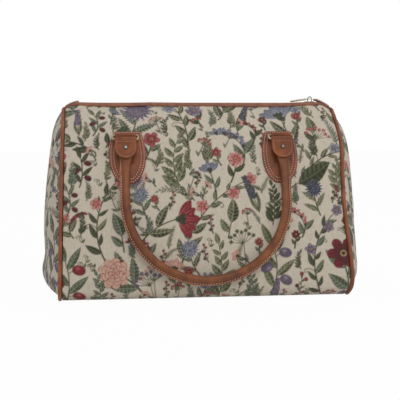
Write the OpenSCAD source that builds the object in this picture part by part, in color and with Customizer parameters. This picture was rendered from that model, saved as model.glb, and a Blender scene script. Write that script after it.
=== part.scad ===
// Zipped tapestry handbag with two rolled leather handles.
// The body stands on its flat base: +X runs along the bag, the front faces -Y and +Z is up.

/* [Body] */
// Distance between the two end seams
body_w = 336; // [310:2:370]
// Depth of the body just above its base
body_d = 184; // [172:2:194]
// Height of the panels' top edges
edge_h = 228; // [220:1:238]
// Radius where the walls turn under the base
base_r = 14; // [10:1:18]
// Extra bulge at the middle of the front and back
belly = 7; // [4:0.5:9]
// Bulge at the middle of each end
end_belly = 26; // [14:1:30]
// Radius of the end's rounding next to its seam
end_round = 28; // [20:1:36]
// Drop of the top edge at each end
shoulder_drop = 8; // [4:0.5:10]
// Length over which the top edge drops
shoulder_len = 20; // [16:1:26]
// Thickness of the woven wall
wall_t = 1.6; // [1.2:0.1:2]
// Thickness of the lining
lining_t = 0.6; // [0.4:0.1:0.9]
// Thickness of the stiff board in the base
board_t = 2.4; // [1.6:0.2:4]
// Distance from the base board's edge to the walls' turned edges
board_inset = 8; // [4:1:14]
// Clearance between pieces that lie against each other
gap = 0.3; // [0.2:0.05:0.4]
// Diameter of the leather piping in the end seams
piping_d = 5; // [4:0.25:6]

/* [Zip] */
// Width of the opening that the zip closes
zip_w = 28; // [26:0.5:32]
// Distance between the two binding strips
channel_w = 11; // [10.6:0.2:13]
// Thickness of the leather binding strips
binding_t = 1.2; // [0.8:0.1:1.6]
// Thickness of the zip tape
tape_t = 0.6; // [0.4:0.1:0.8]
// Spacing of the zip's teeth
tooth_pitch = 3; // [2.5:0.25:5]
// Width of each row of teeth
tooth_row_w = 2.1; // [1.8:0.1:2.4]
// Height of the teeth
tooth_h = 2.4; // [2:0.1:3]
// Slit between the two rows, for the slider's web
slit_w = 1; // [0.9:0.1:1.2]
// Length of the slider
slider_l = 12; // [10:0.5:14]
// Width of the slider
slider_w = 9; // [8:0.25:9.5]
// Thickness of the slider's two plates
plate_t = 1.2; // [1:0.1:1.6]
// Outer radius of the slider's eye
eye_r = 3; // [2.8:0.1:3.3]
// Radius of the pull's pin
pull_pin_r = 1.2; // [1:0.05:1.3]
// Length of the pull from its pin to its tip
pull_l = 25; // [20:1:27]
// Width of the pull
pull_w = 6; // [5:0.25:8]
// Thickness of the pull
pull_t = 1.2; // [0.8:0.1:1.4]
// Angle by which the pull's tip lies lower than its pin
pull_dip = 8; // [5:0.5:8]
// Length of the fabric tab over each end of the zip
zip_tab_l = 15.7; // [10:0.1:16]
// Width of the fabric tab
zip_tab_w = 22; // [18:0.5:24]
// Thickness of the fabric tab
zip_tab_t = 1.6; // [1:0.1:1.7]
// Height by which the tab's inner end stands up
zip_tab_rise = 2.4; // [0:0.2:3]

/* [Handle mountings] */
// Distance from the middle of the bag to a handle's leg
hang_x = 92.5; // [86:0.5:98]
// Distance from the middle of the bag to a patch's middle
patch_x = 90.5; // [84:0.5:96]
// Distance from the top edge's level down to the keeper loops
keeper_below = 41; // [38:0.5:46]
// Length of a patch along the wall
patch_l = 72; // [62:1:78]
// Distance from the patch's top edge down to the keeper
patch_above = 8; // [6:0.25:10]
// Greatest width of a patch
patch_w = 43; // [40:0.5:46]
// Thickness of the leather patches
patch_t = 1.8; // [1.4:0.1:2.2]
// Radius of the rings' wire
wire_r = 1.4; // [1.2:0.05:1.5]
// Height of a ring between the middles of its bars
ring_h = 7.4; // [7:0.1:8.5]
// Lean of a ring away from the wall
ring_lean = 25; // [24:0.5:32]
// Width of a keeper loop
keeper_w = 24; // [20:0.5:25]
// Length of the keeper's sewn flap
keeper_flap = 11; // [9:0.5:11.5]
// Thickness of the leather in keepers and handle tabs
strap_t = 1.4; // [1:0.05:1.4]
// Width of a handle tab
tab_w = 25.6; // [24:0.2:26]
// Length of a handle tab below the ring
tab_l = 26; // [24:0.5:28]
// Length of the tab's back layer
tab_back_l = 13.25; // [12.75:0.25:14]
// Distance from the ring's bar down to the rivet
rivet_drop = 8.4; // [8:0.1:8.8]
// Radius of the rivet's dome
rivet_r = 3; // [2.5:0.1:3.2]
// Height of the rivet's dome
rivet_dome_h = 1.7; // [1.2:0.1:2]
// Radius of the rivet's stem
rivet_stem_r = 1.3; // [1:0.05:1.5]
// Clearance round pins, bars and stems
play = 0.3; // [0.2:0.05:0.35]

/* [Handles] */
// Radius of the rolled handle
roll_r = 4.3; // [3.8:0.1:4.5]
// Width of the sewn flange along the roll
flange_w = 3; // [2:0.25:4]
// Thickness of the sewn flange
flange_t = 1.8; // [1.4:0.1:2.4]
// Length of the straight legs below the ring
leg_l = 75; // [68:1:80]
// Where the handle's flattened end begins below the ring
end_start = 12.5; // [12:0.25:13]
// Half thickness of the flattened end
end_half_t = 1.4; // [1:0.05:1.4]
// Half width of the flattened end
end_half_w = 8.2; // [6:0.2:9]
// How much more upright than the wall a handle starts
lean_in = 2; // [0:0.25:2.5]
// Angle between a handle's lowest point and the plumb line
lean_low = 2; // [1:0.25:8]

/* [Hidden] */
$fn = 48;

half_w = body_w / 2;
half_d = body_d / 2;
half_zip = zip_w / 2;
seam_in = piping_d / 2 + gap;
edge_x = half_w - seam_in;
flat_x = half_w - shoulder_len;

// Share of the section's parameter that the bottom corner takes
corner_v = 0.1;
// Powers that give the section its high, round-shouldered form
rise_pow = 1.6;
round_pow = 0.62;
step_pow = 1.5;
top_share = pow(1 - pow(half_zip / half_d, 1 / round_pow), 1 / rise_pow);
peak_h = base_r + (edge_h - base_r) / top_share;
top_w = 1 - pow(1 - top_share, 1 / step_pow);

// Steps over which the surfaces' directions are taken
slope_step = 0.004;
side_step = 0.01;

// Section of the bag at its end seams: v runs from the base seam (0) to the zip's edge (1)
function up(v) = (v - corner_v) / (1 - corner_v);
function rise(v) = 1 - pow(max(0, 1 - top_w * up(v)), step_pow);
function sec_y(v) = v < corner_v
    ? half_d - base_r + base_r * sin(90 * v / corner_v)
    : half_d * pow(max(0, 1 - pow(rise(v), rise_pow)), round_pow);
function sec_z(v) = v < corner_v
    ? base_r - base_r * cos(90 * v / corner_v)
    : base_r + (peak_h - base_r) * rise(v);
function v_at(z) = z < base_r
    ? corner_v * acos(1 - z / base_r) / 90
    : corner_v + (1 - corner_v) * (1 - pow(1 - (z - base_r) / (peak_h - base_r), 1 / step_pow)) / top_w;

// Drop of the shoulders towards the ends, felt near the top only
function drop(x, z) =
    shoulder_drop * pow(max(0, (abs(x) - flat_x) / shoulder_len), 2) * pow(z / edge_h, 6);

// Front wall: a point at x and section parameter v, and the wall's outward direction there
function swell(x, v) = belly * (1 - pow(min(1, abs(x) / half_w), 3)) * pow(max(0, sin(180 * v)), 1.2);
function wall(x, v) = [x, -sec_y(v) - swell(x, v), sec_z(v) - drop(x, sec_z(v))];
function unit(a) = a / norm(a);
function wall_out(x, v) = unit(cross(wall(x + 1, v) - wall(x - 1, v),
    wall(x, v + slope_step) - wall(x, v - slope_step)));
function wall_at(x, v, d) = wall(x, v) + d * wall_out(x, v);

// Seam line at the ends, and the same line set in by the piping's half width
function seam_pt(v) = [sec_y(v), sec_z(v) - drop(half_w, sec_z(v))];
function seam_run(v) = unit(seam_pt(v + slope_step) - seam_pt(v - slope_step));
function seam_inner(v) = seam_pt(v) + seam_in * [-seam_run(v)[1], seam_run(v)[0]];

// Right end wall: t runs from the front seam (-1) to the back seam (1)
end_v0 = corner_v / 2;
end_lo = seam_inner(end_v0)[1];
end_hi = seam_inner(1)[1];
end_cut = 2.4;
end_fade = 0.7;
end_gain = 1.08;
function cushion(d, r) = sqrt(1 - pow(1 - max(0, min(1, d / r)), 2));
function end_bulge(z) = end_belly * cushion(z - end_lo, end_round) * cushion(end_hi - z, end_round)
    * pow(max(0, 1 - pow(z / (edge_h + base_r), 2)), end_fade) * end_gain;
function end_wall(t, v) = let (q = seam_inner(v))
    [half_w + end_bulge(q[1]) * (1 - pow(abs(t), end_cut)), t * q[0], q[1]];
function end_out(t, v) = unit(cross(end_wall(t + side_step, v) - end_wall(t - side_step, v),
    end_wall(t, v + slope_step) - end_wall(t, v - slope_step)));
function end_at(t, v, d) = end_wall(t, v) + d * end_out(t, v);

// Closed solid between two grids of points, skin outside and back inside
module slab(skin, back) {
    m = len(skin);
    n = len(skin[0]);
    function at(k, i, j) = (k * m + i) * n + j;
    function quad(a, b, c, d) = [[a, b, c], [a, c, d]];
    points = [for (g = [skin, back]) for (row = g) for (p = row) p];
    faces = [
        for (i = [0:m - 2]) for (j = [0:n - 2])
            each quad(at(0, i, j), at(0, i, j + 1), at(0, i + 1, j + 1), at(0, i + 1, j)),
        for (i = [0:m - 2]) for (j = [0:n - 2])
            each quad(at(1, i, j), at(1, i + 1, j), at(1, i + 1, j + 1), at(1, i, j + 1)),
        for (i = [0:m - 2]) each quad(at(0, i, 0), at(0, i + 1, 0), at(1, i + 1, 0), at(1, i, 0)),
        for (i = [0:m - 2])
            each quad(at(0, i, n - 1), at(1, i, n - 1), at(1, i + 1, n - 1), at(0, i + 1, n - 1)),
        for (j = [0:n - 2]) each quad(at(0, 0, j), at(1, 0, j), at(1, 0, j + 1), at(0, 0, j + 1)),
        for (j = [0:n - 2])
            each quad(at(0, m - 1, j), at(0, m - 1, j + 1), at(1, m - 1, j + 1), at(1, m - 1, j))
    ];
    polyhedron(points = points, faces = faces, convexity = 6);
}

// Columns and rows of the walls' grids, closer together where the surface turns
half_cols = [for (i = [1:6]) flat_x * i / 6, for (i = [1:3]) flat_x + (edge_x - flat_x) * i / 3];
x_cols = [for (i = [len(half_cols) - 1:-1:0]) -half_cols[i], 0, each half_cols];
v_rows = [for (j = [0:2]) corner_v * j / 3, for (j = [0:11]) corner_v + (1 - corner_v) * j / 11];
end_rows = [for (j = [0:12]) end_v0 + (1 - end_v0) * j / 12];
end_cols = [for (i = [-5:5]) sin(90 * i / 5)];

module front_wall(d0, d1) {
    slab([for (x = x_cols) [for (v = v_rows) wall_at(x, v, d0)]],
        [for (x = x_cols) [for (v = v_rows) wall_at(x, v, d1)]]);
}

module end_shell(d0, d1) {
    slab([for (t = end_cols) [for (v = end_rows) end_at(t, v, d0)]],
        [for (t = end_cols) [for (v = end_rows) end_at(t, v, d1)]]);
}

module to_back() {
    rotate([0, 0, 180]) children();
}

module to_left() {
    mirror([1, 0, 0]) children();
}

// Piping
piping_z = piping_d / 2 + 0.1;
piping_half = [for (v = v_rows) [seam_pt(v)[0], max(piping_z, seam_pt(v)[1])]];
crown = seam_pt(1)[1] + 1;
piping_loop = [
    for (p = piping_half) [-p[0], p[1]],
    [-half_zip / 3, crown], [half_zip / 3, crown],
    for (i = [len(piping_half) - 1:-1:0]) piping_half[i],
    for (i = [3:-1:1]) [(half_d - base_r) * (i - 2) / 2, piping_z]
];

module end_piping() {
    n = len(piping_loop);
    sides = 8;
    function turn(i) = unit(piping_loop[(i + 1) % n] - piping_loop[(i + n - 1) % n]);
    points = [for (i = [0:n - 1]) for (k = [0:sides - 1])
        let (a = 360 * (k + 0.5) / sides, w = turn(i), r = piping_d / 2)
        [half_w + r * cos(a), piping_loop[i][0] - r * sin(a) * w[1], piping_loop[i][1] + r * sin(a) * w[0]]];
    faces = [for (i = [0:n - 1]) for (k = [0:sides - 1])
        let (a = i * sides + k, b = i * sides + (k + 1) % sides,
            c = ((i + 1) % n) * sides + (k + 1) % sides, d = ((i + 1) % n) * sides + k)
        each [[a, c, b], [a, d, c]]];
    polyhedron(points = points, faces = faces, convexity = 6);
}

// Zip
tape_z = edge_h - 0.1 - tape_t / 2;
half_tape_l = flat_x + 1;
row_in = slit_w / 2;
row_out = row_in + tooth_row_w;
slider_x = flat_x - 8;
teeth_x1 = slider_x + slider_l / 2;
teeth_x0 = -teeth_x1 + slider_l;
binding_z = edge_h + gap - 0.1;
binding_top = binding_z + binding_t;
plate_gap = tooth_h / 2 + play;
slider_top = tape_z + plate_gap + plate_t;
eye_z = slider_top + eye_r + play;

binding_v = [0.972, 0.986, 1];
function binding_pt(x, s, d) = s < 3
    ? wall_at(x, binding_v[s], gap + d)
    : [x, -channel_w / 2, binding_z - drop(x, edge_h) + d];

module zip_binding() {
    slab([for (x = x_cols) [for (s = [0:3]) binding_pt(x, s, binding_t)]],
        [for (x = x_cols) [for (s = [0:3]) binding_pt(x, s, 0)]]);
}

tape_lap = 0.2;
module zip_tape() {
    y0 = row_out + tape_lap;
    y1 = half_zip - wall_t + tape_lap;
    translate([-half_tape_l, -y1, tape_z - tape_t / 2]) cube([2 * half_tape_l, y1 - y0, tape_t]);
}

// Comb of teeth: an outline whose teeth point across the slit
module zip_teeth(shift) {
    spine = 0.8;
    foot0 = 0.15;
    tip0 = 0.25;
    tip1 = 0.65;
    foot1 = 0.75;
    count = floor((teeth_x1 - teeth_x0) / tooth_pitch) - 1;
    x0 = teeth_x0 + shift * tooth_pitch;
    outline = [
        [teeth_x0, -row_out],
        [teeth_x1, -row_out],
        [teeth_x1, -row_out + spine],
        for (i = [count - 1:-1:0]) each [
            [x0 + (i + foot1) * tooth_pitch, -row_out + spine],
            [x0 + (i + tip1) * tooth_pitch, -row_in],
            [x0 + (i + tip0) * tooth_pitch, -row_in],
            [x0 + (i + foot0) * tooth_pitch, -row_out + spine]
        ],
        [teeth_x0, -row_out + spine]
    ];
    translate([0, 0, tape_z - tooth_h / 2]) linear_extrude(tooth_h) polygon(outline);
}

module zip_stops() {
    top_l = 1.6;
    low_l = 2.4;
    z = tape_z - tooth_h / 2;
    color("goldenrod") {
        for (y = [-row_out, row_in])
            translate([teeth_x1 + gap, y, z]) cube([top_l, tooth_row_w, tooth_h]);
        translate([teeth_x0 - gap - low_l, -row_out, z]) cube([low_l, 2 * row_out, tooth_h]);
    }
}

module zip_tab() {
    x0 = edge_x - zip_tab_l;
    z0 = binding_top + gap;
    cols = [for (i = [0:4]) x0 + zip_tab_l * i / 4];
    function lift(x) = zip_tab_rise * pow(max(0, (edge_x - x) / zip_tab_l - 0.1), 2);
    function tab_pt(x, k, d) = [x, k * zip_tab_w / 2, z0 + d + lift(x) - drop(x, edge_h)];
    slab([for (x = cols) [for (k = [-1:1]) tab_pt(x, k, zip_tab_t)]],
        [for (x = cols) [for (k = [-1:1]) tab_pt(x, k, 0)]]);
}

// Share of the slider's length that its square end takes, and the length of its web
square_part = 0.6;
web_part = 0.45;
eye_t = 1.6;
module slider_plate() {
    nose = 1 - square_part;
    linear_extrude(plate_t) {
        translate([-slider_l / 2, -slider_w / 2]) square([slider_l * square_part, slider_w]);
        translate([slider_l * (square_part - 0.5), 0]) scale([2 * slider_l * nose / slider_w, 1])
            circle(d = slider_w);
    }
}

module zip_slider() {
    color("silver") translate([slider_x, 0, 0]) difference() {
        union() {
            translate([0, 0, tape_z + plate_gap]) slider_plate();
            translate([0, 0, tape_z - plate_gap - plate_t]) slider_plate();
            translate([0, -slit_w / 4, tape_z - plate_gap])
                cube([slider_l * web_part, slit_w / 2, 2 * plate_gap]);
            translate([-eye_r, -eye_t / 2, slider_top]) cube([2 * eye_r, eye_t, eye_z - slider_top]);
            translate([0, 0, eye_z]) rotate([90, 0, 0]) cylinder(r = eye_r, h = eye_t, center = true);
        }
        translate([0, 0, eye_z]) rotate([90, 0, 0])
            cylinder(r = pull_pin_r + play, h = 2 * eye_t, center = true);
    }
}

module zip_pull() {
    ear_in = eye_t / 2 + play;
    ear_t = pull_w / 2 - ear_in;
    ear_r = pull_pin_r + 1.1;
    reach = norm([eye_r, eye_r + play]) + play;
    color("gainsboro") translate([slider_x, 0, eye_z]) rotate([0, -pull_dip, 0]) {
        rotate([90, 0, 0]) cylinder(r = pull_pin_r, h = pull_w, center = true);
        for (side = [-1, 1]) translate([0, side * (ear_in + ear_t / 2), 0]) {
            rotate([90, 0, 0]) cylinder(r = ear_r, h = ear_t, center = true);
            translate([-reach - 1, -ear_t / 2, -pull_t / 2]) cube([reach + 1, ear_t, pull_t]);
        }
        translate([-pull_l + pull_w / 2, -pull_w / 2, -pull_t / 2])
            cube([pull_l - pull_w / 2 - reach, pull_w, pull_t]);
        translate([-pull_l + pull_w / 2, 0, -pull_t / 2]) cylinder(d = pull_w, h = pull_t);
    }
}

// Patch under each handle mounting: b runs from its top edge (0) to its tip (1)
keeper_v = v_at(edge_h - keeper_below);
patch_rows = [0, 0.03, 0.12, 0.24, 0.37, 0.5, 0.63, 0.75, 0.85, 0.93, 0.98, 1];
top_part = 0.76;
corner_cut = 0.08;
corner_b = 0.05;
tip_b = 0.53;
tip_pow = 2.3;
tip_round = 0.55;
function patch_half(b) = patch_w / 2 * (b < 0.5
    ? top_part + (1 - top_part) * sin(180 * b) - corner_cut * pow(1 - min(1, b / corner_b), 2)
    : pow(1 - pow((b - 0.5) / tip_b, tip_pow), tip_round));
// Section parameter a given length down the wall from the keeper's level
function slope_len(v) =
    norm(wall(patch_x, v + slope_step) - wall(patch_x, v - slope_step)) / (2 * slope_step);
function walk(v, left) = left <= 0 ? v : walk(v - 1 / slope_len(v), left - 1);
patch_v0 = keeper_v + patch_above / slope_len(keeper_v);
patch_v1 = walk(keeper_v, patch_l - patch_above);

module patch(x0) {
    cols = [-1, -0.6, -0.2, 0.2, 0.6, 1];
    function at(k, b, d) = let (v = patch_v0 + (patch_v1 - patch_v0) * b)
        wall_at(x0 + k * patch_half(b), v, d);
    slab([for (b = patch_rows) [for (k = cols) at(k, b, gap + patch_t)]],
        [for (b = patch_rows) [for (k = cols) at(k, b, gap)]]);
}

// Place of a ring's upper bar: level with the wall, lying along its slope
face_out = wall_out(patch_x, keeper_v);
slope = atan2(face_out[2], -face_out[1]);
seat = wall(patch_x, keeper_v) + (2 * gap + patch_t) * [0, -cos(slope), sin(slope)];
bore_r = wire_r + play;
loop_r = bore_r + strap_t;
bar_out = gap + loop_r;
upper_bar = seat + bar_out * [0, -cos(slope), sin(slope)];
ring_angle = slope + ring_lean;
lower_bar = upper_bar + ring_h * [0, -sin(ring_angle), -cos(ring_angle)];
lean_top = slope - lean_in;
ring_side = max(keeper_w, tab_w) / 2 + 2 * play + wire_r;

module at_upper_bar(x0) {
    translate([x0, upper_bar[1], upper_bar[2]]) rotate([-slope, 0, 0]) children();
}

module at_lower_bar(x0) {
    translate([x0, lower_bar[1], lower_bar[2]]) rotate([-lean_top, 0, 0]) children();
}

module bar(r, l) {
    rotate([0, 90, 0]) cylinder(r = r, h = l, center = true);
}

module keeper(x0) {
    color("sienna") at_upper_bar(x0) difference() {
        union() {
            bar(loop_r, keeper_w);
            translate([-keeper_w / 2, loop_r - 2 * strap_t, -keeper_flap])
                cube([keeper_w, 2 * strap_t, keeper_flap]);
        }
        bar(bore_r, keeper_w + 2);
    }
}

module ring(x0) {
    color("khaki") translate([x0, upper_bar[1], upper_bar[2]]) rotate([-ring_angle, 0, 0]) {
        for (z = [0, -ring_h]) translate([0, 0, z]) bar(wire_r, 2 * ring_side);
        for (x = [-ring_side, ring_side]) {
            translate([x, 0, -ring_h]) cylinder(r = wire_r, h = ring_h);
            for (z = [0, -ring_h]) translate([x, 0, z]) sphere(r = wire_r);
        }
    }
}

module tongue(l, t) {
    r = tab_w / 2;
    rotate([90, 0, 0]) linear_extrude(t) union() {
        translate([-r, -l + r]) square([tab_w, l - r]);
        translate([0, -l + r]) circle(r = r);
    }
}

module handle_tab(x0) {
    color("chocolate") at_lower_bar(x0) difference() {
        union() {
            bar(loop_r, tab_w);
            translate([0, -bore_r, 0]) tongue(tab_l, strap_t);
            translate([-tab_w / 2, bore_r, -tab_back_l]) cube([tab_w, strap_t, tab_back_l]);
        }
        bar(bore_r, tab_w + 2);
        translate([0, 0, -rivet_drop]) rotate([90, 0, 0])
            cylinder(r = rivet_stem_r + play / 2, h = 4 * loop_r, center = true);
    }
}

module rivet(x0) {
    cap_t = 0.8;
    ball_r = (rivet_r * rivet_r + rivet_dome_h * rivet_dome_h) / (2 * rivet_dome_h);
    color("silver") at_lower_bar(x0) translate([0, 0, -rivet_drop]) rotate([90, 0, 0]) {
        translate([0, 0, -loop_r]) cylinder(r = rivet_stem_r, h = 2 * loop_r);
        translate([0, 0, -loop_r - cap_t]) cylinder(r = rivet_r, h = cap_t);
        intersection() {
            translate([0, 0, loop_r + rivet_dome_h - ball_r]) sphere(r = ball_r);
            translate([0, 0, loop_r]) cylinder(r = rivet_r + 1, h = rivet_dome_h + 1);
        }
    }
}

// Handle: a roll with a sewn flange, on a sheet that leans less and less towards its lowest point
handle_l = leg_l + hang_x;
bend = (lean_top - lean_low) / handle_l;
function lean(s) = lean_top - bend * s;
function sheet(s) = let (k = bend * PI / 180)
    [(cos(lean(s)) - cos(lean_top)) / k, (sin(lean_top) - sin(lean(s))) / k];
function ease(s, a, b) = let (q = max(0, min(1, (s - a) / (b - a)))) q * q * (3 - 2 * q);
roll_start = tab_back_l + 1;
full_part = 0.55;
roll_full = leg_l * full_part;
function half_t(s) = end_half_t + (roll_r - end_half_t) * ease(s, roll_start, roll_full);
function half_wide(s) = end_half_w + (roll_r - end_half_w) * ease(s, end_start, roll_full);
tab_half_t = half_t(tab_l + 1);
function sink(s) = -min(half_t(s), tab_half_t) + end_half_t;

leg_steps = 6;
arch_steps = 20;
stations = [
    for (i = [0:leg_steps - 1]) [end_start + (leg_l - end_start) * i / leg_steps, 0],
    for (i = [0:arch_steps]) [leg_l, 180 * i / arch_steps],
    for (i = [leg_steps - 1:-1:0]) [end_start + (leg_l - end_start) * i / leg_steps, 180]
];
round_pts = 9;
mouth = 24;
stub = 0.4;
function roll_section(s) =
    let (a = half_wide(s), b = half_t(s), f = ease(s, tab_l, roll_full),
        x = a + stub + (flange_w - stub) * f, y = min(flange_t / 2, b * stub))
    [
        for (k = [0:round_pts]) let (q = mouth + (360 - 2 * mouth) * k / round_pts) [a * cos(q), b * sin(q)],
        [x, -y],
        [x, y]
    ];
function station_pt(st, q) =
    let (s = st[0] + hang_x * sin(st[1]), o = sheet(s), w = lean(s), b = q[1] + sink(s),
        out = [-cos(st[1]), sin(st[1])])
    [-hang_x * cos(st[1]) + q[0] * out[0],
        lower_bar[1] - o[0] - q[0] * out[1] * sin(w) - b * cos(w),
        lower_bar[2] - o[1] - q[0] * out[1] * cos(w) + b * sin(w)];

module handle() {
    rings = [for (st = stations)
        let (s = st[0] + hang_x * sin(st[1])) [for (q = roll_section(s)) station_pt(st, q)]];
    m = len(rings);
    n = len(rings[0]);
    faces = [
        for (i = [0:m - 2]) for (k = [0:n - 1])
            let (a = i * n + k, b = i * n + (k + 1) % n, c = (i + 1) * n + (k + 1) % n, d = (i + 1) * n + k)
            each [[a, b, c], [a, c, d]],
        [for (k = [n - 1:-1:0]) k],
        [for (k = [0:n - 1]) (m - 1) * n + k]
    ];
    polyhedron(points = [for (r = rings) each r], faces = faces, convexity = 6);
}

// Named pieces
module front_panel() { color("wheat") front_wall(0, -wall_t); }
module back_panel() { color("wheat") to_back() front_wall(0, -wall_t); }
module base_panel() {
    d = half_d - base_r - gap;
    color("wheat") translate([-edge_x, -d, 0]) cube([2 * edge_x, 2 * d, wall_t]);
}
module right_end_panel() { color("wheat") end_shell(0, -wall_t); }
module left_end_panel() { color("wheat") to_left() end_shell(0, -wall_t); }
module front_lining() { color("tan") front_wall(-wall_t - gap, -wall_t - gap - lining_t); }
module back_lining() { color("tan") to_back() front_lining(); }
module right_end_lining() { color("tan") end_shell(-wall_t - gap, -wall_t - gap - lining_t); }
module left_end_lining() { color("tan") to_left() right_end_lining(); }
module base_board() {
    x = edge_x - board_inset;
    y = half_d - base_r - board_inset;
    r = 6;
    color("dimgray") translate([0, 0, wall_t + gap]) linear_extrude(board_t) {
        square([2 * x, 2 * (y - r)], center = true);
        square([2 * (x - r), 2 * y], center = true);
        for (i = [-1, 1]) for (j = [-1, 1]) translate([i * (x - r), j * (y - r)]) circle(r = r);
    }
}
module right_piping() { color("saddlebrown") end_piping(); }
module left_piping() { color("saddlebrown") to_left() end_piping(); }
module front_binding() { color("peru") zip_binding(); }
module back_binding() { color("peru") to_back() zip_binding(); }
module front_zip_tape() { color("tan") zip_tape(); }
module back_zip_tape() { color("tan") to_back() zip_tape(); }
module front_zip_teeth() { color("peru") zip_teeth(0); }
module back_zip_teeth() { color("peru") mirror([0, 1, 0]) zip_teeth(0.5); }
module right_zip_tab() { color("rosybrown") zip_tab(); }
module left_zip_tab() { color("rosybrown") to_left() zip_tab(); }
module front_left_patch() { color("sienna") patch(-patch_x); }
module front_right_patch() { color("sienna") patch(patch_x); }
module back_left_patch() { color("sienna") to_back() patch(patch_x); }
module back_right_patch() { color("sienna") to_back() patch(-patch_x); }

front_panel();
back_panel();
base_panel();
left_end_panel();
right_end_panel();
front_lining();
back_lining();
left_end_lining();
right_end_lining();
base_board();
left_piping();
right_piping();
front_binding();
back_binding();
front_zip_tape();
back_zip_tape();
front_zip_teeth();
back_zip_teeth();
zip_stops();
left_zip_tab();
right_zip_tab();
zip_slider();
zip_pull();
front_left_patch();
front_right_patch();
back_left_patch();
back_right_patch();
keeper(-hang_x);  // front_left_keeper
keeper(hang_x);  // front_right_keeper
to_back() keeper(hang_x);  // back_left_keeper
to_back() keeper(-hang_x);  // back_right_keeper
ring(-hang_x);  // front_left_ring
ring(hang_x);  // front_right_ring
to_back() ring(hang_x);  // back_left_ring
to_back() ring(-hang_x);  // back_right_ring
handle_tab(-hang_x);  // front_left_tab
handle_tab(hang_x);  // front_right_tab
to_back() handle_tab(hang_x);  // back_left_tab
to_back() handle_tab(-hang_x);  // back_right_tab
rivet(-hang_x);  // front_left_rivet
rivet(hang_x);  // front_right_rivet
to_back() rivet(hang_x);  // back_left_rivet
to_back() rivet(-hang_x);  // back_right_rivet
color("chocolate") handle();  // front_handle
color("chocolate") to_back() handle();  // back_handle
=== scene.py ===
import bpy
import numpy as np
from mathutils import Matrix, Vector


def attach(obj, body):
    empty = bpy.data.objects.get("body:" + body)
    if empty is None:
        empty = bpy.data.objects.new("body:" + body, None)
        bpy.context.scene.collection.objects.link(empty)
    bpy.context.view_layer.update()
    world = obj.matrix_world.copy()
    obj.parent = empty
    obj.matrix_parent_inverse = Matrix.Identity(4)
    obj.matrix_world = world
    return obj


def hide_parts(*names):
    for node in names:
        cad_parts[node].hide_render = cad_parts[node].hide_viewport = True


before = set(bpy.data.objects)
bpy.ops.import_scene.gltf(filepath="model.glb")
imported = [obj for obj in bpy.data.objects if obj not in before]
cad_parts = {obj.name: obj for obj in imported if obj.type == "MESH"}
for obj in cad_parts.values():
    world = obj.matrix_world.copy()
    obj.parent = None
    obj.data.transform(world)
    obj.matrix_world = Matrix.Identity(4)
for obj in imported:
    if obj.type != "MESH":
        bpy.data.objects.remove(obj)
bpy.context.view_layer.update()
print("frame loaded:", len(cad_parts), "nodes")
fine = 1.0  # coarser cloth while trying things
mm = 0.001

# the bag's own form, in mm: x along the bag, v up its wall from the base seam (0) to the zip (1)

form = {
    "halfW": 168.0, "halfD": 92.0, "edgeH": 228.0, "baseR": 14.0, "belly": 7.0, "halfZip": 14.0,
    "endBelly": 26.0, "endRound": 28.0, "endCut": 2.4, "endFade": 0.7, "endGain": 1.08,
    "shoulderDrop": 8.0, "shoulderL": 20.0, "cornerV": 0.1, "risePow": 1.6, "roundPow": 0.62, "stepPow": 1.5,
    "pipingR": 2.5, "gap": 0.3, "wallT": 1.6,
}
seamIn = form["pipingR"] + form["gap"]
edgeX = form["halfW"] - seamIn
flatX = form["halfW"] - form["shoulderL"]
topShare = (1 - (form["halfZip"] / form["halfD"]) ** (1 / form["roundPow"])) ** (1 / form["risePow"])
peakH = form["baseR"] + (form["edgeH"] - form["baseR"]) / topShare
topW = 1 - (1 - topShare) ** (1 / form["stepPow"])


def stacked(*parts):  # coordinates side by side in the last axis
    return np.stack(np.broadcast_arrays(*parts), -1)


def unit(a):
    return a / np.maximum(np.linalg.norm(a, axis=-1, keepdims=True), 1e-9)


def ease(s, a, b):
    q = np.clip((s - a) / (b - a), 0, 1)
    return q * q * (3 - 2 * q)


def sectionYZ(v):  # quarter circle at the base, then y = D (1 - rise^1.6)^0.62 with z linear in rise
    v = np.asarray(v, float)
    k = form["cornerV"]
    rise = 1 - np.maximum(0, 1 - topW * (v - k) / (1 - k)) ** form["stepPow"]
    low = np.pi / 2 * np.clip(v / k, 0, 1)
    y = np.where(v < k, form["halfD"] - form["baseR"] * (1 - np.sin(low)),
                 form["halfD"] * np.maximum(0, 1 - np.maximum(rise, 0) ** form["risePow"]) ** form["roundPow"])
    z = np.where(v < k, form["baseR"] * (1 - np.cos(low)), form["baseR"] + (peakH - form["baseR"]) * rise)
    return y, z


def vAtHeight(z):  # the other way round, for heights above the base's round
    rise = (z - form["baseR"]) / (peakH - form["baseR"])
    return form["cornerV"] + (1 - form["cornerV"]) * (1 - (1 - rise) ** (1 / form["stepPow"])) / topW


def shoulder(x, z):  # how far the wall's top drops towards the ends
    past = np.maximum(0, (np.abs(x) - flatX) / form["shoulderL"])
    return form["shoulderDrop"] * past ** 2 * (z / form["edgeH"]) ** 6


def wallBase(x, v):  # front wall without its folds
    x, v = np.broadcast_arrays(np.asarray(x, float), np.asarray(v, float))
    y, z = sectionYZ(v)
    swell = form["belly"] * (1 - np.minimum(1, np.abs(x) / form["halfW"]) ** 3)
    return stacked(x, -y - swell * np.maximum(0, np.sin(np.pi * v)) ** 1.2, z - shoulder(x, z))


def wallOut(x, v):
    along, up = wallBase(x + 1, v) - wallBase(x - 1, v), wallBase(x, v + 0.004) - wallBase(x, v - 0.004)
    return unit(np.cross(along, up))


# the filled bag's cloth: broad hollows, puckers along the seams, ripples under the zip, taut round the patches
cloth = {"wallL": 250, "wave": 0.9, "pucker": 0.55, "puckerL": 11.0, "puckerReach": 16.0, "seamReach": 2.5,
         "ripple": 0.5, "rippleL": 17, "rippleReach": 14, "zipReach": 3, "foldsFrom": (2, 30),
         "tautX": 90.5, "tautHalfX": 34, "tautV": 0.64, "tautHalfV": 0.26}


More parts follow.
